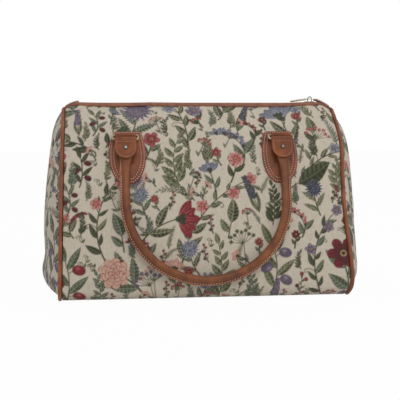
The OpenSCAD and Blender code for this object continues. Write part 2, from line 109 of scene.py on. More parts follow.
def folds(x, v, phase):  # height of the cloth over its plain form
    s, down = cloth["wallL"] * v, (1 - v) * cloth["wallL"]
    calm = 1 - np.exp(-((np.abs(x) - cloth["tautX"]) / cloth["tautHalfX"]) ** 4
                      - ((v - cloth["tautV"]) / cloth["tautHalfV"]) ** 4)
    wave = np.sin(x * 0.021 + phase) * np.sin(s * 0.027 + 0.6 * phase)
    wave = wave + 0.6 * np.sin(x * 0.043 - s * 0.021 + 2 * phase)
    edge = edgeX - np.abs(x)
    near = np.exp(-edge / cloth["puckerReach"]) * (1 - np.exp(-edge / cloth["seamReach"]))
    pucker = near * np.sin(s * 2 * np.pi / cloth["puckerL"] + 2.2 * np.sin(s * 0.06 + phase))
    top = np.exp(-down / cloth["rippleReach"]) * (1 - np.exp(-down / cloth["zipReach"]))
    ripple = top * np.sin(x * 2 * np.pi / cloth["rippleL"] + 2 * np.sin(x * 0.05 + phase))
    height = calm * cloth["wave"] * wave + cloth["pucker"] * pucker + cloth["ripple"] * ripple * calm
    return height * ease(s, *cloth["foldsFrom"])


def wallPoint(x, v, lift, phase):
    p = wallBase(x, v) + (lift + folds(x, v, phase))[..., None] * wallOut(x, v)
    p[..., 2] = np.maximum(p[..., 2], 0)
    return p


# how far the right and left end seams stand out, by height, and how far the cloth sinks at the zip, by x
endSag = {
    1: ([-20, 0, 5, 10, 19, 30, 54, 80, 116, 139, 166, 181, 215, 240],
        [-3.5, -3, 0.6, 3.6, 4.8, 4.4, 2.6, -0.4, -2.2, -1.2, 1.2, 2.2, -1.4, -1.6]),
    -1: ([-20, 0, 60, 120, 180, 212, 224, 240], [-0.6, -0.4, 0.2, 0.4, 0.3, 0.2, -0.6, -1.0]),
}
zipSag = ([-165, -140, -105, -60, -25, 20, 60, 100, 122, 140, 165],
          [0, 0.5, 1.5, 0.4, 0.9, 1.3, 1.6, 1.5, 0.5, 0, 0])
sag = {"cloth": (205, 227), "tapes": (2.9, 5.4), "backStretch": 0.93, "ends": (96, form["halfW"]),
       "taper": 0.022}
sagGrid = np.linspace(-20, 240, 53)
sagBlur = [0.1, 0.2, 0.4, 0.2, 0.1]
sagLine = {side: np.convolve(np.pad(np.interp(sagGrid, *line), 2, mode="edge"), sagBlur, "valid")
           for side, line in endSag.items()}


def sagAtZip(p):  # the cloth sinks a little between the zip's ends; the teeth stay level
    p = np.array(p, float)
    down = np.interp(p[..., 0] * np.where(p[..., 1] > 0, sag["backStretch"], 1.0), *zipSag)
    p[..., 2] -= down * ease(p[..., 2], *sag["cloth"]) * ease(np.abs(p[..., 1]), *sag["tapes"])
    return p


def settle(p):  # the ends lean in a little towards the top, and their seams wander as the cloth pulls them
    p = sagAtZip(p)
    x, z = p[..., 0].copy(), p[..., 2]
    p[..., 0] += x * (np.abs(x) / form["halfW"]) ** 2 * sag["taper"] * (0.5 - z / form["edgeH"])
    for side in (1, -1):
        p[..., 0] += np.interp(z, sagGrid, sagLine[side]) * ease(side * x, *sag["ends"])
    return p


def toBack(p):
    return p * np.array([-1.0, -1.0, 1.0])


def toLeft(p):
    return p * np.array([-1.0, 1.0, 1.0])


def asIs(p):
    return p


# meshes: every shape is one or more grids of points, merged where they meet


def gridQuads(m, n):
    at = np.arange(m * n).reshape(m, n)
    return stacked(at[:-1, :-1], at[1:, :-1], at[1:, 1:], at[:-1, 1:]).reshape(-1, 4)


def turnedOut(xyz, quads):  # faces of a closed shape, turned round where they enclose a negative volume
    a, b, c, d = (xyz[quads[:, k]] for k in range(4))
    volume = (a * np.cross(b, c)).sum() + (a * np.cross(c, d)).sum()
    return quads if volume > 0 else quads[:, ::-1]


def meshPart(points, quads, slot=0, uv=None, rgb=None, lift=None):
    xyz = points.reshape(-1, 3)
    uv = np.zeros((len(xyz), 2)) if uv is None else np.asarray(uv, float).reshape(-1, 2)
    return {"xyz": xyz, "quads": quads, "slot": slot, "uv": uv, "rgb": rgb, "lift": lift}


def sheetPart(points, uv=None, flip=False, closed=False, **more):
    quads = gridQuads(*points.shape[:2])
    quads = turnedOut(points.reshape(-1, 3), quads) if closed else quads[:, ::-1] if flip else quads
    return meshPart(points, quads, uv=uv, **more)


def copiesPart(copies, slot=0):  # the same small closed grid at many places: (place, row, column, xyz)
    count, m, n = copies.shape[:3]
    quads = turnedOut(copies[0].reshape(-1, 3), gridQuads(m, n))
    return meshPart(copies, (quads[None] + (np.arange(count) * m * n)[:, None, None]).reshape(-1, 4), slot)


def splitSlot(part, faces, slot):  # gives some faces of a part another finish
    other = part | {"quads": part["quads"][faces], "slot": slot}
    return [part | {"quads": part["quads"][~faces]}, other]


mergeStep = 4e-6  # points nearer than this (m) become one vertex


def buildPiece(name, parts, looks, body, sharp=None):
    # coincident points become one vertex, faces that shrink to a line go, and the rest is written in one step
    start = np.cumsum([0] + [len(p["xyz"]) for p in parts])
    xyz, uv = (np.concatenate([p[key] for p in parts]) * mm for key in ("xyz", "uv"))
    quads = np.concatenate([p["quads"] + s for p, s in zip(parts, start)])
    which = np.concatenate([np.full(len(p["quads"]), p["slot"]) for p in parts])
    cell = np.round(xyz / mergeStep).astype(np.int64)
    _, first, back = np.unique(cell, axis=0, return_index=True, return_inverse=True)
    faces = back.reshape(-1)[quads]
    keep = faces != np.roll(faces, -1, axis=1)
    four, three = keep.sum(1) == 4, keep.sum(1) == 3
    loops = np.concatenate([faces[four].ravel(), faces[three][keep[three]]])
    corner = np.concatenate([quads[four].ravel(), quads[three][keep[three]]])
    size = np.concatenate([np.full(four.sum(), 4), np.full(three.sum(), 3)])
    mesh = bpy.data.meshes.new(name)
    mesh.vertices.add(len(first))
    mesh.vertices.foreach_set("co", xyz[first].astype(np.float32).ravel())
    mesh.loops.add(len(loops))
    mesh.loops.foreach_set("vertex_index", loops.astype(np.int32))
    mesh.polygons.add(len(size))
    mesh.polygons.foreach_set("loop_start", (np.cumsum(size) - size).astype(np.int32))
    mesh.polygons.foreach_set("material_index", np.concatenate([which[four], which[three]]).astype(np.int32))
    mesh.polygons.foreach_set("use_smooth", np.ones(len(size), bool))
    mesh.uv_layers.new(name="pieceUv").data.foreach_set("uv", uv[corner].astype(np.float32).ravel())
    if parts[0]["rgb"] is not None:
        colour = np.concatenate([np.c_[p["rgb"], np.ones(len(p["rgb"]))] for p in parts])[first]
        lift = np.concatenate([p["lift"] for p in parts])[first]
        yarns = mesh.attributes.new("yarn", "FLOAT_COLOR", "POINT").data
        yarns.foreach_set("color", colour.astype(np.float32).ravel())
        mesh.attributes.new("raised", "FLOAT", "POINT").data.foreach_set("value", lift.astype(np.float32))
    mesh.update(calc_edges=True)
    mesh.validate()
    if sharp is not None:
        mesh.set_sharp_from_angle(angle=sharp)
    for look in looks:
        mesh.materials.append(finishes[look])
    piece = bpy.data.objects.new(name, mesh)
    bpy.context.scene.collection.objects.link(piece)
    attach(piece, body)
    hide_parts(name)
    return piece


# woven print: each colour field is a formula of the cloth's own place (u across, w up, mm)


def linear(rgb):  # display colour 0-255 to linear light
    c = np.asarray(rgb, float) / 255
    return np.where(c <= 0.04045, c / 12.92, ((c + 0.055) / 1.055) ** 2.4)


yarn = {name: linear(rgb) for name, rgb in {
    "ground": (219, 208, 190), "groundWarm": (209, 195, 174), "ink": (54, 50, 44),
    "leafPale": (148, 148, 118), "leafMid": (90, 97, 68), "leafDark": (57, 63, 44),
    "bluePale": (130, 140, 124), "stem": (92, 88, 62), "crimson": (136, 44, 52), "crimsonDark": (88, 30, 38),
    "rose": (186, 104, 106), "blush": (218, 172, 158), "peach": (212, 174, 146), "sand": (198, 172, 136),
    "violet": (110, 98, 116), "violetPale": (160, 148, 166), "sky": (124, 128, 143),
    "skyPale": (178, 180, 185), "navy": (58, 63, 82), "rust": (150, 92, 72), "gold": (180, 146, 98),
    "plum": (80, 66, 82),
}.items()}
greens = [("leafPale", "leafMid", "leafDark"), ("leafMid", "leafDark", "ink"),
          ("bluePale", "leafMid", "leafDark"), ("leafPale", "leafDark", "ink")]
reds = [("rose", "crimson", "crimsonDark"), ("crimson", "crimsonDark", "ink")]
violets = [("violetPale", "violet", "plum"), ("skyPale", "sky", "navy"), ("sky", "navy", "ink")]
warms = [("blush", "rose", "crimson"), ("peach", "blush", "rust"), ("sand", "gold", "rust")]


def newWeave(u, w):
    u, w = np.ravel(u).astype(float), np.ravel(w).astype(float)
    slub = (0.5 + 0.5 * np.sin(w * 2.1 + 1.7 * np.sin(u * 0.031) + 0.8 * np.sin(w * 0.37)))[:, None]
    rgb = yarn["ground"] * (1 - 0.10 * slub) + yarn["groundWarm"] * 0.10 * slub
    return {"u": u, "w": w, "rgb": rgb, "cover": np.zeros(len(u))}


def localFrame(weave, at, angle, reach):  # s runs along the motif and t across it
    du, dw = weave["u"] - at[0], weave["w"] - at[1]
    idx = np.flatnonzero((np.abs(du) < reach) & (np.abs(dw) < reach))
    c, s = np.cos(angle), np.sin(angle)
    return idx, du[idx] * c + dw[idx] * s, dw[idx] * c - du[idx] * s


def roundFrame(weave, at, turn, reach):  # distance from the motif's middle and angle round it
    idx, s, t = localFrame(weave, at, turn, reach)
    return idx, np.hypot(s, t), np.arctan2(t, s)


def inside(depth, edge=0.8):  # 1 where depth is above zero, with a soft edge in mm
    return np.clip(0.5 + depth / edge, 0, 1)


def comb(x):  # 0 in the middle of each step of x, 0.5 at its ends
    return np.abs(x % 1 - 0.5)


def lay(weave, idx, cover, colour):
    cover = np.clip(cover, 0, 1)
    k = cover[:, None]
    weave["rgb"][idx] = weave["rgb"][idx] * (1 - k) + colour * k
    weave["cover"][idx] = np.maximum(weave["cover"][idx], cover)


def pick(where, a, b):  # colour a where the number is 1, colour b where it is 0
    k = np.clip(where, 0, 1)[:, None]
    return yarn[a] * k + yarn[b] * (1 - k)


def tones3(level, trio):  # level 0 is the darkest of three yarns and 1 the palest
    k = np.clip(level, 0, 1)[:, None]
    low = yarn[trio[2]] * (1 - 2 * k) + yarn[trio[1]] * 2 * k
    high = yarn[trio[1]] * (2 - 2 * k) + yarn[trio[0]] * (2 * k - 1)
    return np.where(k < 0.5, low, high)


def fill(weave, idx, depth, level, trio, rim, rimLevel, where=1):  # a field in three tones inside a thin rim
    lay(weave, idx, inside(depth) * where, tones3(np.where(depth < rim, rimLevel, level), trio))


def stroke(weave, points, wide, thin, colour, dark=None):  # a line that narrows along its run
    p = np.asarray(points, float)
    u, w = weave["u"], weave["w"]
    (u0, w0), (u1, w1) = p.min(0) - wide - 1, p.max(0) + wide + 1
    idx = np.flatnonzero((u > u0) & (u < u1) & (w > w0) & (w < w1))
    if not len(idx):
        return
    q = stacked(u[idx], w[idx])
    a, d = p[:-1], p[1:] - p[:-1]
    k = np.clip(((q[:, None] - a) * d).sum(-1) / (d * d).sum(-1), 0, 1)
    away = q[:, None] - (a + k[..., None] * d)
    far = np.hypot(away[..., 0], away[..., 1])
    nearest = np.arange(len(idx)), far.argmin(1)
    run = (nearest[1] + k[nearest]) / len(d)
    half = (wide + (thin - wide) * run) / 2
    lit = away[nearest] @ np.array([0.8, -0.6]) > 0.15 * half
    lay(weave, idx, inside(half - far[nearest], 0.7), pick(lit, colour, dark) if dark else yarn[colour])


def curve(at, angle, length, turn, n=14):  # points on an arc: turn is the whole change of direction
    a = angle + turn * np.linspace(0, 1, n)
    step = length / (n - 1)
    u = at[0] + np.concatenate([[0], np.cumsum(np.cos(a[:-1]))]) * step
    w = at[1] + np.concatenate([[0], np.cumsum(np.sin(a[:-1]))]) * step
    return stacked(u, w), a


def stalk(weave, at, angle, length, turn, wide, thin, colour="stem", dark=None, n=14):
    p, a = curve(at, angle, length, turn, n)
    stroke(weave, p, wide, thin, colour, dark)
    return p, a


def leaf(weave, at, angle, length, width, trio, bend=0.0, teeth=0.0, count=7):
    # half width = width/2 * sin(pi q^0.8)^0.9, with saw teeth; midrib pale, veins slanting forward
    idx, s, t = localFrame(weave, at, angle, length * 1.2)
    q = s / length
    t = t - bend * length * q * (q - 0.2)
    c = np.clip(q, 0, 1)
    half = width / 2 * np.sin(np.pi * c ** 0.8) ** 0.9 * (1 - teeth * (1 - (count * c) % 1))
    depth = half - np.abs(t)
    vein = comb(q * count * 0.9 - np.abs(t) / width * 1.5)
    lit = np.abs(t) / np.maximum(half, 0.1)
    level = np.where(t > 0, 0.52 + 0.34 * lit, 0.22 + 0.3 * lit) + 0.36 * (vein < 0.12) - 0.24 * (vein > 0.40)
    level = np.where(depth < 0.6, 0.0, level)
    level = np.where(np.abs(t) < 0.028 * width + 0.28, 1.0, level)
    lay(weave, idx, inside(depth) * (q > 0) * (q < 1), tones3(level, trio))


def leavesOn(weave, p, a, size, trio, places, spread, length, width, bend=0.0, teeth=0.0, count=7):
    for k, side in places:
        leaf(weave, p[k], a[k] + side * spread, size * length, size * width, trio, bend * side, teeth, count)


def blade(weave, at, angle, length, width, trio, bend=0.0):  # narrow grass or petal, streaked along
    idx, s, t = localFrame(weave, at, angle, length * 1.2)
    q = s / length
    t = t - bend * length * q * q
    c = np.clip(q, 0, 1)
    half = width / 2 * np.sin(np.pi * c ** 1.15) ** 0.7
    level = 0.75 - 0.5 * c + 0.3 * (comb(t / width * 3.4) < 0.16)
    fill(weave, idx, half - np.abs(t), level, trio, 0.55, 0.1, (q > 0) * (q < 1))


def bloom(weave, at, radius, petals, trio, turn=0.0, cleft=0.5, eye="gold", eyeSize=0.2, rays=3):
    # edge radius = R (1 - cleft + cleft |cos(n a / 2)|^0.7), streaked from the eye outwards
    idx, r, a = roundFrame(weave, at, turn, radius * 1.15)
    lobe = np.abs(np.cos(petals * a / 2))
    streak = comb(a * petals * rays / (2 * np.pi))
    level = 0.1 + 0.85 * r / radius + 0.3 * (streak < 0.14) - 0.2 * (streak > 0.42) - 0.5 * (lobe < 0.28)
    fill(weave, idx, radius * (1 - cleft + cleft * lobe ** 0.7) - r, level, trio, 0.55, 0.08)
    lay(weave, idx, inside(eyeSize * radius - r), pick(r > eyeSize * radius * 0.55, eye, trio[2]))


def ruffled(weave, at, radius, trio, turn, rings=4, petals=9):  # many petals in rings, largest outside
    for k in range(rings):
        size, n = radius * (1 - k / (rings + 0.6)), petals - k
        idx, r, a = roundFrame(weave, at, turn + k * 0.37, size * 1.1)
        lobe = np.abs(np.cos(n * a / 2))
        streak = comb(a * n * 4 / (2 * np.pi))
        level = 0.2 + 0.9 * (r / size) ** 4 + 0.3 * (streak < 0.16) - 0.2 * (streak > 0.42)
        level = level - 0.5 * (lobe < 0.24)
        fill(weave, idx, size * (0.74 + 0.26 * lobe ** 0.6) - r, level, trio, 0.5, 0.0)


def thistle(weave, at, radius, trio, turn):  # ragged head: three rings of spiky petals, paler at their tips
    idx, r, a = roundFrame(weave, at, turn, radius * 1.2)
    spiky = comb(a * 17 / (2 * np.pi)) * 2
    ring = (3 * r / radius - 0.9 * spiky) % 1
    level = 0.1 + 0.95 * ring ** 1.4 - 0.3 * (spiky < 0.16) * (r > 0.3 * radius)
    lay(weave, idx, inside(radius * (0.6 + 0.4 * spiky) - r), tones3(level, trio))


def ball(weave, at, radius, trio, squashed=1.0, turn=0.0):  # berry or plum: ribs, dark rim and a light spot
    idx, s, t = localFrame(weave, at, turn, radius * 1.3)
    spot = np.exp(-((s + 0.3 * radius) ** 2 + (t - 0.35 * radius) ** 2) / (0.2 * radius ** 2))
    level = 0.45 + 0.5 * spot - 0.25 * (comb(t / radius * 1.7 + 0.5) < 0.1)
    fill(weave, idx, radius - np.hypot(s / squashed, t), level, trio, 0.55, 0.05)


def sprig(weave, rng, at, angle, length, trio, pairs, leafL, leafW, turn):
    # a stem with leaves in pairs that get smaller towards its tip
    p, a = stalk(weave, at, angle, length, turn, 1.5, 0.8, "stem", "leafDark", 2 * pairs + 2)
    for k in range(1, 2 * pairs + 1):
        size = length * leafL * (1.15 - 0.55 * k / (2 * pairs)) * rng.uniform(0.85, 1.15)
        side = 1 if k % 2 else -1
        b = a[k] + side * rng.uniform(0.6, 0.95)
        leaf(weave, p[k], b, size, size * leafW, trio, bend=-0.12 * side, count=4)
    leaf(weave, p[-1], a[-1], length * leafL * 0.7, length * leafL * leafW * 0.7, trio, count=4)
    return p, a


def tendril(weave, at, angle, size, sign=1):  # a curl whose bend tightens
    s = np.linspace(0, 1, 26)
    a = angle + sign * (0.5 * s + 5.6 * s ** 2.4)
    step = size * (1.25 - 0.8 * s) / 17
    p = stacked(at[0] + np.cumsum(np.cos(a) * step), at[1] + np.cumsum(np.sin(a) * step))
    stroke(weave, p, 0.95, 0.6, "stem")


def umbel(weave, rng, at, angle, size, trio, dot, rays=8):  # thin rays from one point with small round heads
    stalk(weave, at, angle, size * 0.9, rng.uniform(-0.3, 0.3), 1.4, 0.9)
    p, _ = curve(at, angle, size * 0.9, 0)
    for k in range(rays):
        b = angle + (k / (rays - 1) - 0.5) * 2.3
        end, _ = stalk(weave, p[-1], b, size * 0.5 * (1 - 0.15 * (k % 2)), 0.2, 0.8, 0.6, trio[1])
        bloom(weave, end[-1], size * 0.055 + 0.7, 5, dot, turn=b, cleft=0.3, eye=dot[2])


def spike(weave, rng, at, angle, length, trio, beads=9):  # lavender-like head of small petals on a stalk
    p, a = stalk(weave, at, angle, length, rng.uniform(-0.25, 0.25), 1.3, 0.8, "stem", "leafDark", beads + 6)
    for k in range(5, beads + 5):
        size = length * 0.105 * (1.1 - 0.5 * (k - 5) / beads)
        for side in (-1, 1):
            blade(weave, p[k], a[k] + side * rng.uniform(0.5, 0.9), size * 1.5, size * 0.8, trio)


def cup(weave, at, angle, size, trio, petals=5):  # flower seen from its side: petals fanned out of a calyx
    for k in sorted(range(petals), key=lambda k: -abs(k - (petals - 1) / 2)):
        b = angle + (k / (petals - 1) - 0.5) * 1.7
        blade(weave, at, b, size * (1.05 - 0.12 * (k % 2)), size * 0.46, trio, bend=0.12 * np.sign(b - angle))
    for side in (-1, 0, 1):
        blade(weave, at, angle + side * 0.6, size * 0.42, size * 0.2, greens[1])
    ball(weave, at, size * 0.13, greens[1])


def oneOf(rng, *choices):
    return choices[rng.integers(len(choices))]


def vine(weave, rng, at, angle, length, trio, other):  # a long bending stem with leaves, buds and curls
    turn = rng.choice([-1, 1]) * rng.uniform(0.8, 1.6)
    p, a = stalk(weave, at, angle, length, turn, 2.0, 1.0, "stem", "leafDark", 40)
    for k in range(3, 38, 3):
        side = 1 if k % 2 else -1
        size = length * rng.uniform(0.12, 0.19) * (1.1 - 0.4 * k / 38)
        leaf(weave, p[k], a[k] + side * rng.uniform(0.5, 0.95), size, size * rng.uniform(0.3, 0.42),
             trio if k % 4 else other, bend=-0.2 * side, count=6)
    tendril(weave, p[13], a[13] + 0.9, length * 0.14, 1)
    tendril(weave, p[27], a[27] - 0.9, length * 0.12, -1)
    colours = oneOf(rng, warms[0], reds[0], violets[0], reds[1], violets[1])
    for k, side in ((19, 1), (31, -1), (39, 0)):
        twig, b = stalk(weave, p[k], a[k] + side * 0.7, length * 0.1, -0.4 * side, 1.2, 0.9, n=6)
        bloom(weave, twig[-1], length * 0.065, 5, colours, b[-1], cleft=0.38, rays=3)


# stem: length and turn as shares of the size and the lean, widths, yarn; then the leaves' places and sides,
# and their spread, length, width, bend, teeth and veins
stemmed = {
    "bloom": ((0.75, -1, 2.0, 1.4, "leafMid"), ((3, 1), (6, -1), (9, 1)), (0.8, 0.42, 0.16, -0.15)),
    "ruffled": ((0.6, 1, 2.4, 1.6, "leafMid"), ((2, 1), (4, -1), (8, 1), (9, -1)),
                (0.9, 0.5, 0.2, -0.15, 0.25, 8)),
    "thistle": ((0.72, -1, 1.9, 1.4, "stem"), ((2, 1), (4, -1), (7, 1)), (0.7, 0.46, 0.17, 0.15, 0.5, 9)),
    "cup": ((0.66, 1, 1.8, 1.3, "leafMid"), ((3, -1), (6, 1)), (0.7, 0.4, 0.13, -0.2)),
    "fruit": ((0.8, -2, 1.8, 1.1, "stem"), ((2, 1), (5, -1), (7, 1), (11, -1), (13, 0)), (0.75, 0.4, 0.12)),
    "broad": ((0.4, 1, 1.8, 1.2, "leafMid"), (), (0, 0, 0)),
}


def plant(weave, rng, at, size, kind):  # one whole motif of about that size, growing up from its foot
    lean = rng.uniform(-0.75, 0.75)
    up = np.pi / 2 + lean
    green, other = oneOf(rng, *greens), oneOf(rng, *greens)
    if kind in stemmed:
        (share, turn, wide, thin, colour), places, leafLook = stemmed[kind]
        p, a = stalk(weave, at, up, size * share, turn * lean, wide, thin, colour, "leafDark")
        leavesOn(weave, p, a, size, green, places, *leafLook)
    if kind == "bloom":
        trio = oneOf(rng, reds[0], violets[0], warms[0], violets[1], reds[1])
        petals = int(rng.integers(5, 9))
        bloom(weave, p[-1], size * 0.26, petals, trio, rng.uniform(0, 6), cleft=0.42, rays=4)
    elif kind == "ruffled":
        trio = oneOf(rng, reds[0], warms[0], violets[0], warms[1])
        ruffled(weave, p[-1], size * 0.29, trio, rng.uniform(0, 6))
    elif kind == "thistle":
        thistle(weave, p[-1], size * 0.27, oneOf(rng, *violets), 0.3)
    elif kind == "cup":
        nod = rng.uniform(-0.5, 0.5)
        cup(weave, p[-1], a[-1] + nod, size * 0.34, oneOf(rng, reds[0], violets[1], warms[1]))
    elif kind == "fruit":
        trio = oneOf(rng, violets[0], reds[1], reds[0])
        for k, side in ((4, -1), (7, 1), (10, -1)):
            hang, b = stalk(weave, p[k], a[k] + side * 1.1, size * 0.17, side * 0.9, 0.9, 0.8, n=5)
            ball(weave, hang[-1], size * 0.078, trio, 1.35, b[-1])
    elif kind == "broad":
        leaf(weave, p[-1], a[-1], size * 0.62, size * 0.3, green, bend=0.2, count=8)
        leaf(weave, p[5], a[5] + 0.9, size * 0.4, size * 0.18, other, bend=-0.2, count=6)
    elif kind == "sprig":
        sprig(weave, rng, at, up, size, green, int(rng.integers(5, 8)), 0.3, 0.42, -2 * lean)
    elif kind == "fern":
        sprig(weave, rng, at, up, size, other, 10, 0.2, 0.24, 2 * lean)
    elif kind == "umbel":
        umbel(weave, rng, at, up, size * 0.72, green, oneOf(rng, warms[1], greens[0], violets[0], warms[0]))
        leaf(weave, at, up + 0.7, size * 0.34, size * 0.11, other)
    elif kind == "spike":
        spike(weave, rng, at, up, size, oneOf(rng, violets[0], warms[0], violets[2]))
        for side in (-1, 1):
            blade(weave, at, up + side * 0.4, size * 0.5, size * 0.09, other, bend=-0.2 * side)
    elif kind == "bell":
        p, a = stalk(weave, at, up, size * 0.85, -2.2 * (1 if lean > 0 else -1), 1.7, 1.0, "stem", "leafDark")
        trio = oneOf(rng, violets[1], reds[0], warms[0])
        for k in (5, 8, 11, 13):
            cup(weave, p[k], a[k] - 1.4, size * 0.15, trio, petals=3)
        leavesOn(weave, p, a, size, green, ((1, 1), (3, -1)), 0.7, 0.36, 0.13)
    elif kind == "berries":
        p, a = sprig(weave, rng, at, up, size * 0.8, green, 4, 0.24, 0.4, -lean)
        for k, side in ((2, 1), (4, -1), (6, 1), (8, -1), (9, 0)):
            twig, _ = stalk(weave, p[k], a[k] + side * 0.9, size * 0.12, 0.3 * side, 0.8, 0.7, n=5)
            ball(weave, twig[-1], size * 0.036 + 0.8, reds[k // 2 % 2], turn=1.0)
    elif kind == "vine":
        vine(weave, rng, at, up + rng.uniform(-0.5, 0.5), size, green, other)
    elif kind == "curls":
        tendril(weave, at, up, size * 0.5, 1)
        tendril(weave, at, up + 0.7, size * 0.4, -1)
        leaf(weave, at, up - 0.6, size * 0.25, size * 0.09, green)


# motif size in mm, motifs for each 100 square cm, how far round a spot is looked at, as a share, and the kinds
deck = [
    (118, 0.9, 0.34, ["vine"]),
    (68, 1.9, 0.5, ["ruffled", "fruit", "broad", "thistle", "bell", "bloom", "sprig", "cup"]),
    (42, 5.5, 0.34, ["sprig", "broad", "umbel", "cup", "fern", "berries", "bloom", "bell", "fruit", "spike",
                     "thistle"]),
    (23, 14, 0.34, ["curls", "sprig", "berries", "umbel", "fern", "curls", "cup", "sprig", "bloom"]),
]
trials, sampling = 60, 7  # spots tried for each motif, and every which point of the cloth is looked at


def takenShare(weave, at, reach):  # how much of the cloth round a spot is taken; 2 where there is no cloth
    du, dw = weave["u"][::sampling] - at[0], weave["w"][::sampling] - at[1]
    near = (np.abs(du) < reach) & (np.abs(dw) < reach)
    return weave["cover"][::sampling][near].mean() if near.sum() > 8 else 2.0


def weavePrint(u, w, seed, density=1.0):  # fills one panel's cloth; each motif goes where the ground is barest
    weave = newWeave(u, w)
    rng = np.random.default_rng(seed)
    u0, u1, w0, w1 = u.min(), u.max(), w.min(), w.max()
    area = (u1 - u0) * (w1 - w0) / 1e4
    for size, count, share, kinds in deck:
        for k in range(int(round(area * count * density))):
            spots = stacked(rng.uniform(u0 - 4, u1 + 4, trials), rng.uniform(w0 - 6, w1 - 4, trials))
            taken = np.array([takenShare(weave, s + [0, size * 0.4], size * share) for s in spots])
            plant(weave, rng, spots[taken.argmin()], size * rng.uniform(0.85, 1.15), kinds[k % len(kinds)])
    return {"rgb": weave["rgb"], "lift": weave["cover"]}


# finishes: colour, weave, grain and gloss from nodes on object coordinates, UV or the yarn's colours


def rgba(rgb):
    return (*linear(rgb), 1.0)


wavePitch = 0.314  # a wave texture of scale 1 repeats after this many metres


class Nodes:  # adds nodes to one tree; all but add and feed give back an output
    def __init__(self, tree):
        self.tree = tree

    def feed(self, socket, value):  # an output is linked to the socket and anything else is set on it
        if isinstance(value, bpy.types.NodeSocket):
            self.tree.links.new(value, socket)
        else:
            socket.default_value = value

    def add(self, kind, *sockets, **given):  # names in lower case are settings, others are sockets
        new = self.tree.nodes.new("ShaderNode" + kind)
        for key, value in given.items():
            if key[0].islower():
                setattr(new, key, value)
            else:
                self.feed(new.inputs[key.replace("_", " ")], value)
        for k, value in enumerate(sockets):
            self.feed(new.inputs[k], value)
        return new

    def math(self, operation, a, b):
        return self.add("Math", a, b, operation=operation).outputs[0]

    def times(self, a, b):
        return self.math("MULTIPLY", a, b)

    def plus(self, a, *more):
        return self.math("ADD", a, self.plus(*more)) if more else a

    def weigh(self, *pairs):  # sum of outputs times their shares
        return self.plus(*(self.times(a, share) for a, share in pairs))

    def ramp(self, factor, *stops):  # stops are (place, display colour) pairs
        new = self.add("ValToRGB", Fac=factor)
        while len(new.color_ramp.elements) < len(stops):
            new.color_ramp.elements.new(0.5)
        for element, (place, colour) in zip(new.color_ramp.elements, stops):
            element.position, element.color = place, rgba(colour)
        return new.outputs["Color"]

    def blend(self, factor, a, b, mode="MIX"):
        new = self.add("Mix", data_type="RGBA", blend_type=mode)
        for index, value in ((0, factor), (6, a), (7, b)):
            self.feed(new.inputs[index], value)
        return new.outputs[2]

    def noise(self, where, scale, detail=2.0, stretch=None):
        if stretch:
            where = self.add("Mapping", Vector=where, Scale=stretch).outputs[0]
        return self.add("TexNoise", Vector=where, Scale=scale, Detail=detail).outputs["Fac"]

    def thread(self, where, axis, pitch):  # waves a thread's pitch (m) apart
        return self.add("TexWave", Vector=where, bands_direction=axis, Scale=wavePitch / pitch, Distortion=0.6,
                        Detail=1.0, Detail_Scale=1.5).outputs["Fac"]


class Finish(Nodes):  # a material with its Principled surface
    def __init__(self, name, roughness, metallic=0.0, **extra):
        self.made = bpy.data.materials.new(name)
        self.made.use_nodes = True
        super().__init__(self.made.node_tree)
        self.surface = self.tree.nodes["Principled BSDF"]
        self.give(Roughness=roughness, Metallic=metallic, **extra)

    def give(self, **values):
        for key, value in values.items():
            self.feed(self.surface.inputs[key.replace("_", " ")], value)

    def place(self):
        return self.add("TexCoord").outputs["Object"]

    def gloss(self, value, low, high, **start):
        self.give(Roughness=self.add("MapRange", Value=value, To_Min=low, To_Max=high, **start).outputs[0])

    def bump(self, height, distance, strength):
        self.give(Normal=self.add("Bump", Height=height, Distance=distance, Strength=strength).outputs[0])


white = (255, 255, 255)
tapestryLook = {"weftPitch": 0.00072, "warpPitch": 0.00125, "depth": 0.00022, "roughness": 0.86,
                "tint": 0.52, "gapShade": 0.36, "fade": 0.07,
                "weftRuns": (160.0, 1400.0, 1.0), "warpRuns": (800.0, 90.0, 1.0)}


def tapestryFinish(name):
    # woven picture: weft ribs along the piece's u, warp ends across it, each thread a little lighter or
    # darker, and painted shade in the hollows between the threads
    look = tapestryLook
    n = Finish(name, look["roughness"], Sheen_Weight=0.12, Sheen_Roughness=0.5, Specular_IOR_Level=0.25)
    place = n.add("UVMap", uv_map="pieceUv").outputs[0]
    colour = n.add("VertexColor", layer_name="yarn").outputs["Color"]
    weft, warp = n.thread(place, "Y", look["weftPitch"]), n.thread(place, "X", look["warpPitch"])
    uneven = [n.noise(place, 1.0, stretch=look[key]) for key in ("weftRuns", "warpRuns")]
    shade = n.weigh((uneven[0], 0.55), (uneven[1], 0.45))
    tint = n.ramp(shade, (0.34, (196, 190, 184)), (0.5, (244, 242, 240)), (0.68, white))
    colour = n.blend(look["tint"], colour, tint, "MULTIPLY")
    # painted shade: darker where the threads dip, in the hollows between them
    between = n.ramp(n.times(weft, warp), (0.0, (176, 170, 162)), (0.22, white))
    colour = n.blend(look["gapShade"], colour, between, "MULTIPLY")
    soil = n.times(n.noise(place, 14.0, 3.0), look["fade"])
    n.give(Base_Color=n.blend(soil, colour, rgba((150, 136, 118))))
    raised = n.add("Attribute", attribute_name="raised").outputs["Fac"]
    height = n.weigh((weft, 0.55), (warp, 0.3), (raised, 0.9))
    n.bump(n.plus(height, n.times(n.noise(place, 900.0, 1.0), 0.5)), look["depth"], 0.8)
    return n.made


